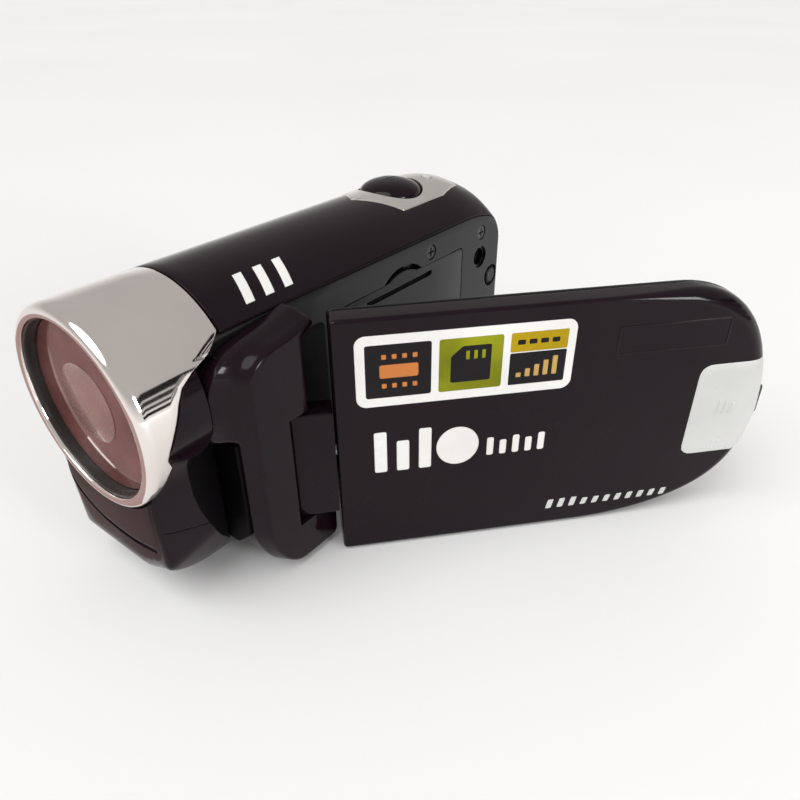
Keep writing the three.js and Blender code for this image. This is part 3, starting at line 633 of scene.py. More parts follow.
def nose_solid():
    heights = [2.1, 2.3, 2.6, 3, 3.5, 4, 4.6, 5.2, 6, 6.8, 7.6, 8.4, 9.2, 9.9, 10.4, 10.8, 11.3, 12, 13]
    heights += [14 + 1.25 * i for i in range(33)]
    nose = loft("nose_casing", [nose_ring(z) for z in heights if z <= NOSE_TOP])
    cut(nose, shroud_room())
    return drill(nose, "y", (0, AXIS_Z), 16.9, -60, -41, 96)


RECESS_X = 12.8
RECESS_EDGE = [(-46.6, 34.5), (-49.1, 33.9), (-49.3, 33), (-49.1, 26), (-48.4, 22), (-47.3, 18.5), (-45.9, 15),
               (-44.4, 12.3), (-42.3, 9.3)]


def hinge_recess():
    """The recess between the nose and the hinge housing, which goes up as the seam between them."""
    seam = [(-40, 60), (HOUSING_SEAM_Y - 0.2, 60), (HOUSING_SEAM_Y - 0.2, 36.2), (HOUSING_SEAM_Y - 0.5, 35.2)]
    return prism("x", seam + RECESS_EDGE + [(-40, 9)], RECESS_X, 30)


def tube(points, out, r):
    """A thin tube along a line, for cutting a seam. `out` is the direction that the surface faces."""
    rings = []
    for i, p in enumerate(points):
        along = Vector(points[min(i + 1, len(points) - 1)]) - Vector(points[max(i - 1, 0)])
        across = along.normalized().cross(Vector(out)).normalized()
        rings.append([tuple(Vector(p) + Vector(out) * r * math.cos(t) + across * r * math.sin(t))
                      for t in (2 * math.pi * k / 10 for k in range(10))])
    return loft("tube", rings)


def chin_groove():
    """The moulded groove on the chin's front, which follows its lower edge."""
    path = bezier((-15.1, 25), (-14.2, 19.5), (-11.5, 16.4), (-6, 15.0), 10)
    path += bezier((-6, 15.0), (0, 14.0), (5, 14.2), (11.4, 15.9), 10)[1:]
    return tube([(x, nose_front(z) + 0.05, z) for x, z in path], (0, -1, 0), 0.55)


def side_seam(side):
    """The seam between the chin and the base, on one flank of the nose."""
    line = [(-57.5, 22), (-54, 20.2), (-50, 19), (-46, 18), (-41, 16.8)]
    path = [(nose_flank(y, z, side), y, z) for y, z in line]
    return tube(path, (side, 0, 0), 0.16)


def nose():
    piece = nose_solid()
    cut(piece, hinge_recess())
    cut(piece, chin_groove())
    cut(piece, side_seam(1))
    cut(piece, side_seam(-1))
    finish_piece(piece, "body", ["chin_cover", "front_fairing"], BLACK_GLOSS, 28)


def liner_profile(t):
    """The dark ring between the window and the bright lip."""
    return [(16.3, -55.0), (16.3, -57.1), (16.4, -57.3), (16.7, -57.3), (16.7, -55.0)]


def lens_stack():
    # The window's reddish colour and the centre disc's lighter pink hold painted reflection of the warm surroundings.
    glass = rod("y", (0, AXIS_Z), [(16.15, -54.3), (16.25, -54.4), (16.25, -55.1), (16.1, -55.25), (0.01, -55.25)], 96)
    glass.name = "window_glass"
    finish_piece(glass, "body", ["lens_window"], WINDOW)
    disc = rod("y", (-1.4, AXIS_Z), [(7.5, -55.2), (7.5, -55.35), (7.4, -55.4), (0.01, -55.4)], 72)
    disc.name = "window_disc"
    finish_piece(disc, "body", [], WINDOW_DISC)
    liner = loft("lip_liner", around(liner_profile, 96), loop=True)
    finish_piece(liner, "body", [], LENS_RING)


# Casings

def barrel_cover():
    stations = along_body(-36, 44, 3) + along_body(45, 50.5, 0.5)
    piece = strip("barrel_skin", barrel_line, SHROUD_BACK_Y + 0.2, SHELL_BACK_Y, stations)
    drill(piece, "z", (0, LEVER_Y), 7.6, 50, 70, 64)
    finish_piece(piece, "body", ["barrel_cover"], BLACK_GLOSS)
    for i in range(3):
        zoom_mark(i)


def zoom_mark(i):
    """One slanted bar of the plain mark on the barrel, bent round it."""
    start = math.radians(26.5)
    end = math.radians(45)
    y = -29.2 + 4.6 * i
    rings = []
    for k in range(9):
        t = start + (end - start) * k / 8
        lean = 1.6 * (k / 8)
        ring = []
        for dy, dr in ((0, -0.02), (2.0, -0.02), (2.0, 0.05), (0, 0.05)):
            r = BARREL_R + dr
            ring.append((r * math.sin(t), y + dy - lean, AXIS_Z + r * math.cos(t)))
        rings.append(ring)
    finish_piece(loft(f"zoom_bar_{i + 1}", rings), "body", [], WHITE_PRINT)


def cap_half(y):
    return interpolate([(11.9, 0.12), (18.8, 9.3), (34, 9.3), (42.6, 7)], y)


def top_cap():
    """The bright pointed cap: a thin shell on the barrel with rolled edges."""
    front, back = 11.9, 42.6
    rows = [(front, 0.35), (front + 0.15, 0.12), (front + 0.5, 0.0)]
    rows += [(y, 0) for y in (13.2, 14, 15, 16, 17, 18, 18.8, 19.5)]
    rows += [(y, 0) for y in along_body(21, 41.5, 1.6)]
    rows += [(back - 0.5, 0), (back - 0.15, 0.12), (back, 0.35)]
    columns = [(-1, 0, 0.35), (-1, 0.15, 0.12), (-1, 0.5, 0)]
    columns += [(-0.9 + 0.1 * i, 0, 0) for i in range(1, 18)]
    columns += [(1, -0.5, 0), (1, -0.15, 0.12), (1, 0, 0.35)]
    rings = []
    for y, row_drop in rows:
        half = cap_half(y)
        top = []
        for share, shift, drop in columns:
            x = share * half + (shift if half > 1.2 else 0)
            z = AXIS_Z + math.sqrt((BARREL_R + 0.3) ** 2 - x * x) * barrel_rise(y)
            top.append((x, y, z - max(drop, row_drop)))
        bottom = [(x, y, AXIS_Z + math.sqrt((BARREL_R - 1.1) ** 2 - x * x) * barrel_rise(y))
                  for x, _, _ in reversed(top)]
        rings.append(top + bottom)
    piece = loft("cap_shell", rings)
    drill(piece, "z", (0, LEVER_Y), 7.55, 50, 70, 64)
    drill(piece, "z", LED, 1.3, 50, 70, 24)
    finish_piece(piece, "body", ["top_cap"], CAP_METAL)


def zoom_lever():
    dome = [(7.2 * math.cos(t), 59.7 + 3.25 * math.sin(t)) for t in (math.pi / 2 * i / 14 for i in range(14))]
    profile = [(1.5, 55.6), (1.5, 58), (6.9, 58), (7.15, 58.25), (7.2, 58.6)] + dome + [(0.01, 62.95)]
    piece = rod("z", (0, LEVER_Y), profile, 72)
    for i in range(3):
        ridge = rod("y", (-1.6 + 1.6 * i, 63.2), [(0.45, LEVER_Y - 2.4), (0.45, LEVER_Y + 2.4)], 16)
        cut(piece, ridge)
    piece.name = "lever_knob"
    finish_piece(piece, "zoom_lever", ["zoom_lever"], BLACK_GLOSS)


def notch_arc(width, height, z0):
    """The arc over the door's finger notch, from one side to the other, in (y, z)."""
    half = width / 2
    r = (half ** 2 + height ** 2) / (2 * height)
    reach = math.asin(min(1, half / r))
    angles = [reach - 2 * reach * i / 24 for i in range(25)]
    return [(NOTCH["y"] + r * math.sin(t), z0 + height - r + r * math.cos(t)) for t in angles]


def left_wall():
    piece = strip("wall_skin", wall_line, -41.3, SHELL_BACK_Y, along_body(-40, 44, 3) + along_body(45, 50.5, 0.5))
    y0, y1, z0, z1 = DOOR
    door_room = rounded_rect(y0 - 0.2, y1 + 0.09, z0 - 0.2, z1 + 0.2, 1.3)
    cut(piece, prism("x", door_room, 5, 30))
    notch = notch_arc(NOTCH["width"], NOTCH["height"], z1) + [(NOTCH["y"] - 6, z1 - 1), (NOTCH["y"] + 6, z1 - 1)]
    cut(piece, prism("x", notch, WALL_X - 1.6, 30))
    ring_groove(piece, JACK, 2.1, 2.75, 0.5)
    drill(piece, "x", JACK, 2.1, 5, 30)
    ring_groove(piece, SIDE_BUTTON, 2.1, 2.85, 0.9)
    drill(piece, "x", SIDE_BUTTON, 2.02, 5, 30)
    for name in ("wall_screw_front", "wall_screw_rear"):
        low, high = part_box(name)
        middle = (low + high) / 2 / MM
        drill(piece, "x", (middle.y, middle.z), 1.75, WALL_X - 1.2, 30)
        drill(piece, "x", (middle.y, middle.z), 1.0, 5, 30, 24)
    finish_piece(piece, "body", ["left_wall"], BLACK_SATIN)


def ring_groove(piece, centre, inner, outer, deep):
    """A groove round a place on the wall."""
    ring = rod("x", centre, [(outer, WALL_X - deep), (outer, WALL_X + 1)])
    cut(ring, rod("x", centre, [(inner, 0), (inner, 30)]))
    cut(piece, ring)


def battery_door():
    y0, y1, z0, z1 = DOOR

    def place(y, z, x):
        return (x, y, z)

    outline = rounded_rect(y0, y1, z0, z1, 1.2)
    arc = [p for p in notch_arc(NOTCH["width"] - 3.2, NOTCH["height"] - 1.3, z1) if p[1] > z1 + 0.05]
    top = next(i for i, p in enumerate(outline) if p[1] > z1 - 0.01)
    outline = outline[:top + 1] + arc + outline[top + 1:]
    piece = plate("door_plate", outline, place, soft_levels(WALL_X - 1.5, WALL_X, 0.2))
    slot = rounded_rect(-1.5, 21.5, 44.3, 45.5, 0.55)
    cut(piece, prism("x", slot, WALL_X - 0.8, 30))
    finish_piece(piece, "battery_door", ["battery_door"], BLACK_SATIN)


def side_button():
    profile = [(1.9, WALL_X - 2.4), (1.9, WALL_X - 0.25), (1.75, WALL_X + 0.02), (1.5, WALL_X + 0.1),
               (0.9, WALL_X + 0.02), (0.01, WALL_X - 0.03)]
    piece = rod("x", SIDE_BUTTON, profile, 40)
    piece.name = "side_key"
    finish_piece(piece, "side_button", ["side_button"], BLACK_SATIN)


def jack_liner():
    profile = [(1.0, 8), (1.0, 13.2), (1.15, 13.4), (1.85, 13.4), (1.95, 13.2), (1.95, 8)]
    rings = []
    for i in range(40):
        t = 2 * math.pi * i / 40
        rings.append([(x, JACK[0] + r * math.cos(t), JACK[1] + r * math.sin(t)) for r, x in profile])
    finish_piece(loft("jack_liner", rings, loop=True), "body", [], BLACK_DULL)


def right_shell():
    piece = strip("right_skin", right_line, SPLIT_Y + 0.1, SHELL_BACK_Y, along_body(-41, 50, 3))
    cut(piece, shroud_room())
    for i in range(7):
        spread_out = 0 if i == 0 else 3.6
        t = i * math.pi / 3
        drill(piece, "x", (42 + spread_out * math.cos(t), 30 + spread_out * math.sin(t)), 0.8, -30, -10, 20)
    finish_piece(piece, "body", ["right_shell"], BLACK_GLOSS)


def grip_panel():
    def place(y, z, x):
        return (x, y, z)

    outline = rounded_rect(-24, 33, 21, 40.5, 6, 10)
    levels = soft_levels(-BARREL_R - 0.3, -BARREL_R - 1.4, 0.6)
    piece = plate("grip_pad", outline, place, levels)
    for i in range(9):
        y = -17 + 5.4 * i
        groove = rod("z", (-BARREL_R - 1.7, y), [(0.55, 23), (0.55, 38.5)], 16)
        cut(piece, groove)
    finish_piece(piece, "body", ["grip_panel"], RUBBER)


def base_pan():
    piece = strip("base_skin", base_line, SPLIT_Y + 0.1, SHELL_BACK_Y, along_body(-41, 50, 1.5), edge=0.25)
    drill(piece, "z", (0, 14), 4.4, -5, 20, 48)
    for i in range(4):
        low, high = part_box(f"base_screw_{i + 1}")
        middle = (low + high) / 2 / MM
        drill(piece, "z", (middle.x, middle.y), 1.85, -5, 1.2)
    finish_piece(piece, "body", ["base_pan"], BLACK_SATIN)


def rear_outline(y, shrink=0.0):
    """The whole section at y, as one closed line with the same points at every y."""
    top = barrel_line(y, n=40)
    right = [(-BARREL_R, 36), (-BARREL_R, 28), (-BARREL_R, 20)]
    right += bezier((-BARREL_R, 20), (-BARREL_R, 7), (-15, 0), (-8, 0), 14)[1:]
    base = [(-4, 0), (0, 0)] + bezier((4, 0), (7.5, 1), (WALL_X, 5.5), (WALL_X, 12), 12)
    wall = [(WALL_X, 12 + (wall_top(y) - 12) * f) for f in (0.2, 0.4, 0.6, 0.8)]
    line = top + right + base + wall
    return inset(line, shrink) if shrink else line


def rear_dome(border, reach, flat_share, depth):
    """Rings that close from the border of the rear to a flat, as a quarter of an ellipse."""
    middle = (-2.5, 22)
    start = SHELL_BACK_Y + 0.3
    rings = []
    count = 14
    for i in range(count + 1):
        t = math.pi / 2 * i / count
        y = start + 0.2 + (reach - start - 0.2) * math.sin(t)
        closing = (1 - math.cos(t)) * (1 - flat_share)
        section = rear_outline(min(y, REAR_Y - 2.5), depth)
        widest = WALL_X - depth - 0.82 * (y - SHELL_BACK_Y)
        rings.append([(min(widest, x + (middle[0] - x) * closing), y, z + (middle[1] - z) * closing * 0.75)
                      for x, z in section])
    return rings


def rear_cover():
    """The rear closes in a soft dome onto a flat face that carries the controls."""
    start = SHELL_BACK_Y + 0.3
    outer = rear_dome(start, REAR_Y, 0.42, 0.0)
    inner = rear_dome(start, REAR_Y - 1.9, 0.40, SHELL)
    border = [[(x, start, z) for x, z in rear_outline(start, d)] for d in (SHELL, 0.25)]
    piece = loft("rear_skin", inner[::-1] + border + outer)
    drill(piece, "y", RECORD, 5.7, 50, 70, 64)
    for at in REAR_BUTTONS.values():
        drill(piece, "y", at, 2.4, 50, 70, 32)
    cut(piece, prism("y", rounded_rect(-6.8, 2.8, 9.3, 14.3, 0.6), 50, 70))
    finish_piece(piece, "body", ["rear_cover"], BLACK_GLOSS)


def rear_controls():
    y = REAR_Y
    profile = [(5.4, y - 3.4), (5.4, y + 0.35), (5.25, y + 0.7), (4.9, y + 0.85), (4.3, y + 0.75), (3.9, y + 0.5),
               (2.5, y + 0.35), (0.01, y + 0.3)]
    piece = rod("y", RECORD, profile, 56)
    piece.name = "record_key"
    finish_piece(piece, "record_button", ["record_button"], SILVER)
    dot = rod("y", RECORD, [(1.5, y + 0.25), (1.5, y + 0.42), (1.3, y + 0.5), (0.01, y + 0.52)], 32)
    dot.name = "record_dot"
    finish_piece(dot, "record_button", [], ORANGE_PRINT)
    for name, at in REAR_BUTTONS.items():
        small = rod("y", at, [(2.1, y - 3.4), (2.1, y + 0.3), (1.95, y + 0.58), (1.6, y + 0.7), (0.01, y + 0.62)], 36)
        small.name = name + "_key"
        finish_piece(small, name, [name], BLACK_SATIN)


# Hinge

FACE_EDGE = [(22.1, -39.7), (22.27, -39.4), (22.36, -39.1), (HOUSING_X, -38.8)]


def housing_front(x, z):
    """Where the housing starts. Low down it is a wall, further up it grows out of the nose's flank."""
    wall = interpolate([(12, -41.6), (19.9, -41.4)] + FACE_EDGE, x)
    seam_x = nose_flank(HOUSING_SEAM_Y, min(z, 45), 1)
    band = interpolate([(12, HOUSING_SEAM_Y), (seam_x, HOUSING_SEAM_Y), (19.8, -41.5)] + FACE_EDGE, x)
    beyond = max(0, math.hypot(x, z - AXIS_Z) - BARREL_R)
    shoulder = HOUSING_SEAM_Y + 3.1 * math.sqrt(beyond)
    front = wall + (band - wall) * smoothstep(34.4, 35.6, z)
    return front + (shoulder - front) * smoothstep(43, 48.5, z)


def housing_edge(x):
    """How much the housing's outline has shrunk at x, for the rounded edge of its face."""
    inside = max(0, x - (HOUSING_X - 1.2)) / 1.2
    return 1.2 * (1 - math.sqrt(max(0, 1 - inside ** 2)))


def housing_top(x, y):
    ridge = interpolate([(-46, 50.2), (-41, 51.2), (-37, 51.8), (-30, 52.6), (-24.3, 54)], y)
    return ridge - 0.9 * smoothstep(17, 22, x) - housing_edge(x)


def housing_ring(x):
    low = 0.9 + housing_edge(x)
    side = [(-31, low), (-27, low)]
    side += quadratic((-23.4, low), (-22, low), (-22, low + 1.7), 5)
    side += [(-22, 6), (-22, 10.3), (-26, 10.3), (-31.9, 10.3), (-31.9, 20), (-31.9, 35.3), (-27.2, 35.3)]
    side += [(-27.2, 42), (-27.2, 48)]
    side += quadratic((-27.2, 50), (-26.8, housing_top(x, -25) - 1), (-24.3, housing_top(x, -24.3)), 5)
    side += [(y, housing_top(x, y)) for y in (-27, -30)]
    start = housing_front(x, 45)
    bend = (start + 0.6, housing_top(x, -41))
    side += quadratic((-33, housing_top(x, -33)), bend, (start, 45), 14)
    levels = [43.5, 42, 40.5, 39, 37.5, 36.4, 35.8, 35.4, 35, 34.6, 34.2, 32, 29, 26, 23, 20, 17, 14.5]
    side += [(housing_front(x, z), z) for z in levels]
    front = housing_front(x, 13)
    side += quadratic((front, 13), (front + 3, 1.6), (-31, low), 12)[:-1]
    return [(x, y, z) for y, z in side]


def recess_shade_sheets():
    """Near-black sheets at the back and the side of the recess in front of the hinge housing: painted shade for the
    dark, shadowed recess.
    """
    def place(x, z, y):
        return (x, y, z)

    outline = rounded_polygon([(12.4, 9.8), (15.4, 9.8), (19.4, 13.5), (19.4, 34.2), (12.4, 34.2)], 0.4, 3)
    back = plate("recess_back", outline, place, [(0.1, -42.1), (0, -42.0), (0, -41.5)])
    finish_piece(back, "body", [], PAINTED_SHADE_BLACK)
    side = prism("x", [(-42.1, 34.6)] + RECESS_EDGE, RECESS_X - 0.3, RECESS_X + 0.12)
    side.name = "recess_side"
    finish_piece(side, "body", [], PAINTED_SHADE_BLACK)


def hinge_shade_sheet():
    """A near-black sheet on the wall behind the screen's hinged end: painted shade for the dark gap between the wall
    and the screen.
    """
    def place(y, z, x):
        return (x, y, z)

    piece = plate("hinge_shade_sheet", rounded_rect(-31, -14, 12, 46.5, 1.5), place, soft_levels(WALL_X - 0.2, WALL_X + 0.1, 0.08))
    finish_piece(piece, "body", [], PAINTED_SHADE_BLACK)


def hinge_housing():
    # The near-black sheets in the recess and behind the screen's hinged end are painted shade.
    recess_shade_sheets()
    hinge_shade_sheet()
    places = [15.2, 15.8, 16.4, 17, 17.5, 18, 18.4, 18.7, 19, 19.3, 19.6, 19.9, 20.4, 20.9, 21.3, 21.6, 21.85,
              22.05, 22.2, 22.3, 22.37, 22.4]
    piece = loft("housing_shell", [housing_ring(x) for x in places])
    drill(piece, "z", (HINGE_X, HINGE_Y), 1.05, 5, 44, 24)
    finish_piece(piece, "body", ["hinge_housing"], BLACK_GLOSS, 34)


# Screen

def on_screen(u, z, v):
    """A point of the screen: u along it from the hinge, z up, v towards its inner face."""
    t = math.radians(90 - REST_OPEN)
    x = HINGE_X + u * math.cos(t) - v * math.sin(t)
    y = HINGE_Y + u * math.sin(t) + v * math.cos(t)
    return (x, y, z)


def swivel_block():
    def place(u, v, z):
        return on_screen(u, z, v)

    outline = [(1.2, -PANEL_OUT), (4.5, -PANEL_OUT), (7.6, -PANEL_OUT), (7.6, 3.2), (4, 3.2), (1, 3.2)]
    outline += quadratic((0.9, 3.2), (-1.95, 3.2), (-1.95, 0), 8)
    outline += [(PANEL_OUT * math.cos(t), PANEL_OUT * math.sin(t))
                for t in (math.pi * (1 + 0.5 * i / 8) for i in range(1, 9))]
    levels = soft_levels(10.9, 34.8, 0.35, 0.35)
    piece = plate("block_body", outline, place, levels)
    finish_piece(piece, "yoke", ["swivel_block"], BLACK_GLOSS)


def panel_outline(shrink=0.0):
    low, high, near, far = PANEL_LOW + shrink, PANEL_HIGH - shrink, PANEL_NEAR + shrink, PANEL_FAR - shrink
    r = 1.0
    points = quadratic((near, low + r), (near, low), (near + r, low), 4)
    points += [(near + r + (60 - near - r) * i / 8, low) for i in range(1, 8)]
    points += bezier((60, low), (84, low + 0.3), (far - 1, 8), (far, 24), 30)
    points += bezier((far, 24), (far, 41), (90, high), (75, high), 30)[1:]
    points += [(75 - (75 - near - r) * i / 10, high) for i in range(1, 10)]
    points += quadratic((near + r, high), (near, high), (near, high - r), 4)
    points += [(near, high - r - (high - low - 2 * r) * i / 8) for i in range(1, 8)]
    return points


def rim_width(u, z):
    """How far the rounded rim of the screen's outer cover reaches in from its edge."""
    along = smoothstep(58, 92, u)
    return 0.8 + 3.0 * along * (0.45 + 0.55 * smoothstep(4, 22, z))


def rim_drop(width, inside):
    """How far the rim has fallen below the outer face, at a distance inside the edge."""
    if inside >= width:
        return 0
    deep = min(width, PARTING_V + PANEL_OUT - 0.6)
    return deep * (1 - math.sqrt(max(0, 1 - (1 - inside / width) ** 2)))


def lcd_outer_cover():
    outline = panel_outline()
    widths = [rim_width(u, z) for u, z in outline]
    rings = [[on_screen(u, z, PARTING_V) for u, z in inset(outline, 0.25)],
             [on_screen(u, z, PARTING_V - 0.2) for u, z in outline]]
    steps = 9
    for i in range(steps + 1):
        t = math.pi / 2 * i / steps
        ins = [w * (1 - math.cos(t)) for w in widths]
        ring = []
        for (u, z), w, d in zip(inset(outline, ins), widths, ins):
            deep = min(w, PARTING_V + PANEL_OUT - 0.6)
            ring.append(on_screen(u, z, -PANEL_OUT + deep * (1 - math.sin(t))))
        rings.append(ring)
    piece = loft("screen_cover", rings)
    room = plate("room", panel_outline(1.3), on_screen, [(0, -0.65), (0, 6)])
    cut(piece, room)
    finish_piece(piece, "screen", ["lcd_outer_cover"], BLACK_GLOSS, 30)
    raised_frame()


def raised_frame():
    """The faint raised outline of a rectangle near the screen's upper far corner."""
    outer = rounded_rect(61.8, 84.9, 41.3, 47.4, 0.5)
    inner = inset(outer, 0.4)
    low, high = -PANEL_OUT + 0.05, -PANEL_OUT - 0.05
    rings = [[on_screen(u, z, v) for u, z in line]
             for line, v in ((outer, low), (outer, high + 0.02), (inset(outer, 0.04), high),
                             (inset(outer, 0.36), high), (inner, high + 0.02), (inner, low))]
    piece = loft("cover_frame", rings, loop=True)
    finish_piece(piece, "screen", [], BLACK_GLOSS)


def lcd_bezel():
    levels = [(0.25, PARTING_V + 0.3), (0.07, PARTING_V + 0.37), (0, PARTING_V + 0.55)]
    levels += [(0, PANEL_BACK - 0.5), (0.15, PANEL_BACK - 0.15), (0.5, PANEL_BACK)]
    piece = plate("screen_frame", panel_outline(), on_screen, levels)
    opening = plate("opening", rounded_rect(13.6, 77.6, 8.6, 46.2, 1.2), on_screen, [(0, 0), (0, 10)])
    cut(piece, opening)
    finish_piece(piece, "screen", ["lcd_bezel"], BLACK_SATIN)
    glass = plate("screen_glass", rounded_rect(13.9, 77.3, 8.9, 45.9, 1), on_screen,
                  [(0, PANEL_BACK - 0.9), (0, PANEL_BACK - 0.25), (0.15, PANEL_BACK - 0.1)])
    finish_piece(glass, "screen", ["lcd_window"], SCREEN_GLASS)


def far_edge(z):
    """The screen's far edge at height z."""
    return interpolate(sorted((p[1], p[0]) for p in panel_outline() if p[0] > 76), z)


def panel_tab():
    """The silver thumb tab, which follows the cover over its rounded far rim."""
    near, low, high, r = 80.8, 15.0, 37.1, 2.4
    shares = [0, 0.012, 0.03, 0.07, 0.13, 0.2] + [0.2 + 0.8 * i / 16 for i in range(1, 17)]
    rows = 22
    grid = []
    for s in shares:
        column = []
        for k in range(rows + 1):
            f = k / rows
            u_near = near + s * 14
            pinch = r * (1 - math.sqrt(max(0, 1 - max(0, 1 - (u_near - near) / r) ** 2)))
            z = low + pinch + (high - low - 2 * pinch) * f
            edge = far_edge(z) - 0.06
            u = near + (edge - near) * s
            width = rim_width(far_edge(z), z)
            v = -PANEL_OUT - 0.2 + rim_drop(width, far_edge(z) - u)
            border = min(s * 14, (z - low - pinch) + 0.0, (high - pinch - z) + 0.0)
            v += 0.22 * (1 - smoothstep(0, 0.5, border))
            column.append((u, z, v))
        grid.append(column)
    rings = []
    for column in grid:
        top = [on_screen(*p) for p in column]
        bottom = [on_screen(u - 0.02, z, v + 0.45) for u, z, v in reversed(column)]
        rings.append(top + bottom)
    piece = loft("tab_plate", rings)
    finish_piece(piece, "screen", ["panel_tab"], SILVER, 50)
    catch = plate("tab_catch", rounded_rect(95.4, 97.5, 22.8, 30.0, 0.9), on_screen,
                  soft_levels(1.6, -0.5, 0.5, 0.4))
    finish_piece(catch, "screen", [], DARK_STEEL)
    for i in range(3):
        bar = [(86.2 + 1.5 * i, 25.0), (86.9 + 1.5 * i, 25.0), (87.6 + 1.5 * i, 28.4 - 0.5 * i), (86.9 + 1.5 * i, 28.4 - 0.5 * i)]
        mark = plate(f"tab_bar_{i + 1}", rounded_polygon(bar, 0.2, 3), on_screen,
                     soft_levels(-PANEL_OUT - 0.1, -PANEL_OUT - 0.28, 0.06, n=2))
        finish_piece(mark, "screen", [], SILVER)


# Label and plain marks. They are boxes, bars and dots, and stand where the real object is printed.

LABEL_V = -PANEL_OUT


def printed(name, outline, material, lift=0.0, thick=0.05):
    """A thin printed or stuck shape on the screen's outer face."""
    top = LABEL_V - lift - thick
    piece = plate(name, outline, on_screen, [(0, LABEL_V - lift + 0.02), (0, top + 0.02), (0.03, top)])
    return finish_piece(piece, "screen", [], material)


def feature_label():
    outline = rounded_rect(12, 53.4, 35.2, 50, 2, 8)
    base = plate("label_base", outline, on_screen, [(0, LABEL_V + 0.1), (0, LABEL_V - 0.0), (0.06, LABEL_V - 0.06)])
    finish_piece(base, "screen", ["feature_label"], WHITE_PRINT)
    lift = 0.05
    printed("box_dark", rounded_rect(13.8, 26.0, 37.1, 48.1, 0.5), BLACK_PRINT, lift, 0.03)
    printed("box_green", rounded_rect(27.4, 39.4, 37.1, 48.1, 0.5), GREEN_PRINT, lift, 0.03)
    printed("box_yellow", rounded_rect(40.8, 51.8, 44.1, 48.1, 0.3), YELLOW_PRINT, lift, 0.03)
    printed("box_low", rounded_rect(40.8, 51.8, 37.1, 43.9, 0.3), BLACK_PRINT, lift, 0.03)
    sensor_pictogram(lift + 0.03)
    card_pictogram(lift + 0.03)
    frame_pictogram(lift + 0.03)


def sensor_pictogram(lift):
    """A square with contacts round it, for an image sensor."""
    for i in range(4):
        u = 16.8 + 1.9 * i
        printed(f"sensor_top_{i + 1}", rounded_rect(u, u + 0.9, 45.1, 46.1, 0.15, 2), ORANGE_PRINT, lift, 0.02)
        printed(f"sensor_low_{i + 1}", rounded_rect(u, u + 0.9, 39.1, 40.1, 0.15, 2), ORANGE_PRINT, lift, 0.02)
    printed("sensor_bar", rounded_rect(16.4, 23.6, 41.2, 44.0, 0.4, 3), ORANGE_PRINT, lift, 0.02)


def card_pictogram(lift):
    """A memory card with a cut corner and its contacts."""
    card = [(29.6, 38.9), (37.2, 38.9), (37.2, 46.4), (31.8, 46.4), (29.6, 44.4)]
    printed("card_shape", rounded_polygon(card, 0.4, 3), BLACK_PRINT, lift, 0.02)
    for i in range(3):
        u = 32.4 + 1.5 * i
        printed(f"card_contact_{i + 1}", rounded_rect(u, u + 0.7, 43.6, 45.4, 0.1, 2), GREEN_PRINT, lift + 0.02, 0.02)


def frame_pictogram(lift):
    """Bars of growing height on the dark box, and a short row of dashes on the yellow one."""
    for i in range(5):
        u = 42.2 + 1.75 * i
        printed(f"level_{i + 1}", rounded_rect(u, u + 1.0, 38.7, 39.7 + 0.75 * i, 0.15, 2), GOLD_PRINT, lift, 0.02)
    for i in range(4):
        u = 42.1 + 2.2 * i
        printed(f"dash_{i + 1}", rounded_rect(u, u + 1.5, 45.6, 46.6, 0.2, 2), BLACK_PRINT, lift, 0.02)


def cover_marks():
    """Plain white shapes where the real cover is printed."""
    for i in range(3):
        top = 29.3 - 2.4 * (i == 1)
        u = 15.0 + 4.4 * i
        bar = [(u, 19.7), (u + 2.5, 19.7), (u + 2.5, top), (u, top)]
        printed(f"mark_bar_{i + 1}", rounded_polygon(bar, 0.5, 4), WHITE_PRINT, 0, 0.04)
    disc = [(31.6 + 4.3 * math.cos(t), 24.2 + 4.5 * math.sin(t)) for t in (2 * math.pi * i / 48 for i in range(48))]
    printed("mark_disc", disc, WHITE_PRINT, 0, 0.04)
    for i in range(5):
        u = 37.6 + 2.65 * i
        top = 25.3 - 0.8 * (i % 2)
        printed(f"mark_dot_{i + 1}", rounded_rect(u, u + 1.4, 21.0, top, 0.4, 3), WHITE_PRINT, 0, 0.04)
    for i in range(11):
        u = 51.8 + 2.62 * i
        top = 6.9 if i < 3 else 6.3
        dash = [(u, 4.5), (u + 1.3, 4.5), (u + 1.8, top), (u + 0.5, top)]
        printed(f"mark_dash_{i + 1}", rounded_polygon(dash, 0.3, 3), SILVER, 0, 0.04)


# CAD pieces that keep their shape and get a better finish

def finish_cad():
    chosen = {
        "lens_mask": BLACK_DULL, "lens_barrel": BLACK_DULL, "front_lens": LENS, "rear_lens": LENS,
        "lens_retainer": STEEL, "image_sensor": SCREEN_GLASS, "sensor_board": BOARD, "tripod_bush": BRASS,
        "hinge_bracket": STEEL, "hinge_pin": STEEL, "swivel_shaft": STEEL, "battery_tray": BLACK_DULL,
        "battery": CELL, "battery_contact_plus": BRASS, "battery_contact_minus": BRASS, "card_socket": STEEL,
        "av_jack": BLACK_DULL, "usb_socket": STEEL, "main_board": BOARD, "processor_can": STEEL,
        "speaker": BLACK_DULL, "microphone": STEEL, "zoom_switch": BLACK_DULL, "record_switch": BLACK_DULL,
        "status_led": INDICATOR, "lcd_module": BLACK_DULL, "screen_board": BOARD,
        "wall_screw_front": DARK_STEEL, "wall_screw_rear": DARK_STEEL,
    }
    for i in range(4):
        chosen[f"base_screw_{i + 1}"] = STEEL
    for name, material in chosen.items():
        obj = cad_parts[name]
        obj.data.materials.clear()
        obj.data.materials.append(material)


# Stage

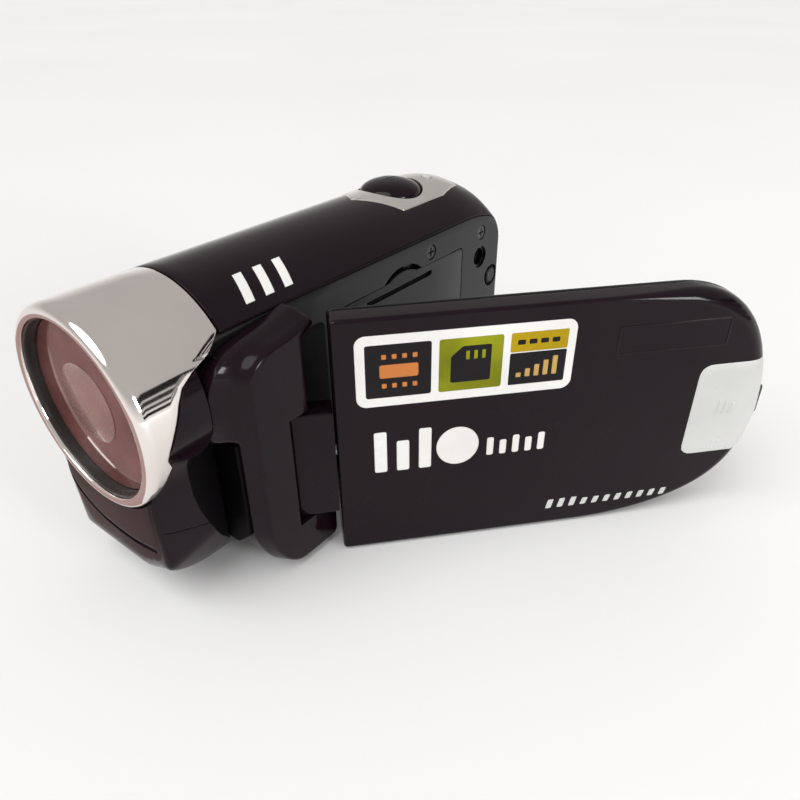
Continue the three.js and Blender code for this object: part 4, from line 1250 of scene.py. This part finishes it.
def floor():
    mesh = bpy.data.meshes.new("floor")
    bm = bmesh.new()
    bmesh.ops.create_grid(bm, x_segments=8, y_segments=8, size=3)
    bm.to_mesh(mesh)
    bm.free()
    obj = bpy.data.objects.new("floor", mesh)
    bpy.context.scene.collection.objects.link(obj)
    obj.location.z = -0.0001
    material, tree, shader = new_material("floor_paper")
    tone = mixed(tree, spread(tree, noise(tree, 3, 2), 0, 1), (0.86, 0.86, 0.86), (0.89, 0.89, 0.89))
    tree.links.new(tone, shader.inputs["Base Color"])
    shader.inputs["Roughness"].default_value = 0.8
    mesh.materials.append(material)


def softbox(name, place, aim, width, height, power, colour=(1, 1, 1)):
    light = bpy.data.lights.new(name, "AREA")
    light.shape = "RECTANGLE"
    light.size = width
    light.size_y = height
    light.energy = power
    light.color = colour
    obj = bpy.data.objects.new(name, light)
    bpy.context.scene.collection.objects.link(obj)
    obj.location = Vector(place)
    obj.rotation_euler = (Vector(aim) - Vector(place)).to_track_quat("-Z", "Y").to_euler()


def card(name, place, aim, width, height, material=None):
    """A dark flag beside the set. It is seen only as a streak in the bright and glossy parts."""
    mesh = bpy.data.meshes.new(name)
    bm = bmesh.new()
    bmesh.ops.create_grid(bm, x_segments=4, y_segments=2, size=0.5)
    bmesh.ops.scale(bm, vec=(width, height, 1), verts=bm.verts)
    bm.to_mesh(mesh)
    bm.free()
    obj = bpy.data.objects.new(name, mesh)
    bpy.context.scene.collection.objects.link(obj)
    obj.location = Vector(place)
    obj.rotation_euler = (Vector(aim) - Vector(place)).to_track_quat("Z", "Y").to_euler()
    mesh.materials.append(material or BLACK_DULL)
    obj.visible_camera = False
    obj.visible_diffuse = False
    obj.visible_shadow = False


def overhead():
    """A wide, far lamp above the front, so that the floor is even and the shadows are soft."""
    light = bpy.data.lights.new("overhead", "SUN")
    light.energy = 1.9
    light.angle = math.radians(50)
    obj = bpy.data.objects.new("overhead", light)
    bpy.context.scene.collection.objects.link(obj)
    obj.rotation_euler = Vector((-0.1, -0.55, 0.83)).to_track_quat("Z", "Y").to_euler()


FLAGS = [(0.055, 0.06), (0.155, 0.055), (0.27, 0.085), (0.43, 0.14)]


def studio():
    """Grey walls, brighter towards the floor, with a lamp above the front and dark flags behind."""
    world = bpy.data.worlds.new("studio")
    bpy.context.scene.world = world
    world.use_nodes = True
    tree = world.node_tree
    place = add_node(tree, "ShaderNodeTexCoord")
    split = add_node(tree, "ShaderNodeSeparateXYZ")
    tree.links.new(place.outputs["Generated"], split.inputs["Vector"])
    background = tree.nodes["Background"]
    background.inputs["Color"].default_value = (1, 0.975, 0.96, 1)
    tree.links.new(spread(tree, split.outputs["Z"], 0.86, 0.52, 0, 0.32), background.inputs["Strength"])
    overhead()
    softbox("side_light", (0.85, -0.02, 0.28), (0.02, -0.03, 0.04), 0.16, 0.22, 2.2)
    aim = (0.02, -0.05, 0.05)
    for i, (height, tall) in enumerate(FLAGS):
        card(f"flag_{i + 1}", (1.08 - 0.01 * i, 0.50 + 0.03 * i, height), aim, 1.1, tall)
    card("flag_floor", (-0.075, -0.125, 0.001), (-0.075, -0.125, 1), 0.15, 0.13, WARM_CARD)
    bpy.context.scene.view_settings.view_transform = "Standard"


def camera():
    data = bpy.data.cameras.new("camera")
    data.sensor_width = 36
    data.lens = 30.82
    data.clip_start = 0.005
    obj = bpy.data.objects.new("camera", data)
    bpy.context.scene.collection.objects.link(obj)
    place = Vector((100.98, -99.31, 104.71)) * MM
    aim = Vector((22.61, -0.14, 23.94)) * MM
    roll = Matrix.Rotation(math.radians(-0.56), 4, "Z")
    turn = (aim - place).to_track_quat("-Z", "Y").to_matrix().to_4x4()
    obj.matrix_world = Matrix.Translation(place) @ turn @ roll
    bpy.context.scene.camera = obj


def build():
    camera()
    studio()
    floor()
    front_shroud()
    nose()
    lens_stack()
    barrel_cover()
    top_cap()
    zoom_lever()
    left_wall()
    battery_door()
    side_button()
    jack_liner()
    right_shell()
    grip_panel()
    base_pan()
    rear_cover()
    rear_controls()
    hinge_housing()
    swivel_block()
    lcd_outer_cover()
    lcd_bezel()
    panel_tab()
    feature_label()
    cover_marks()
    finish_cad()


build()
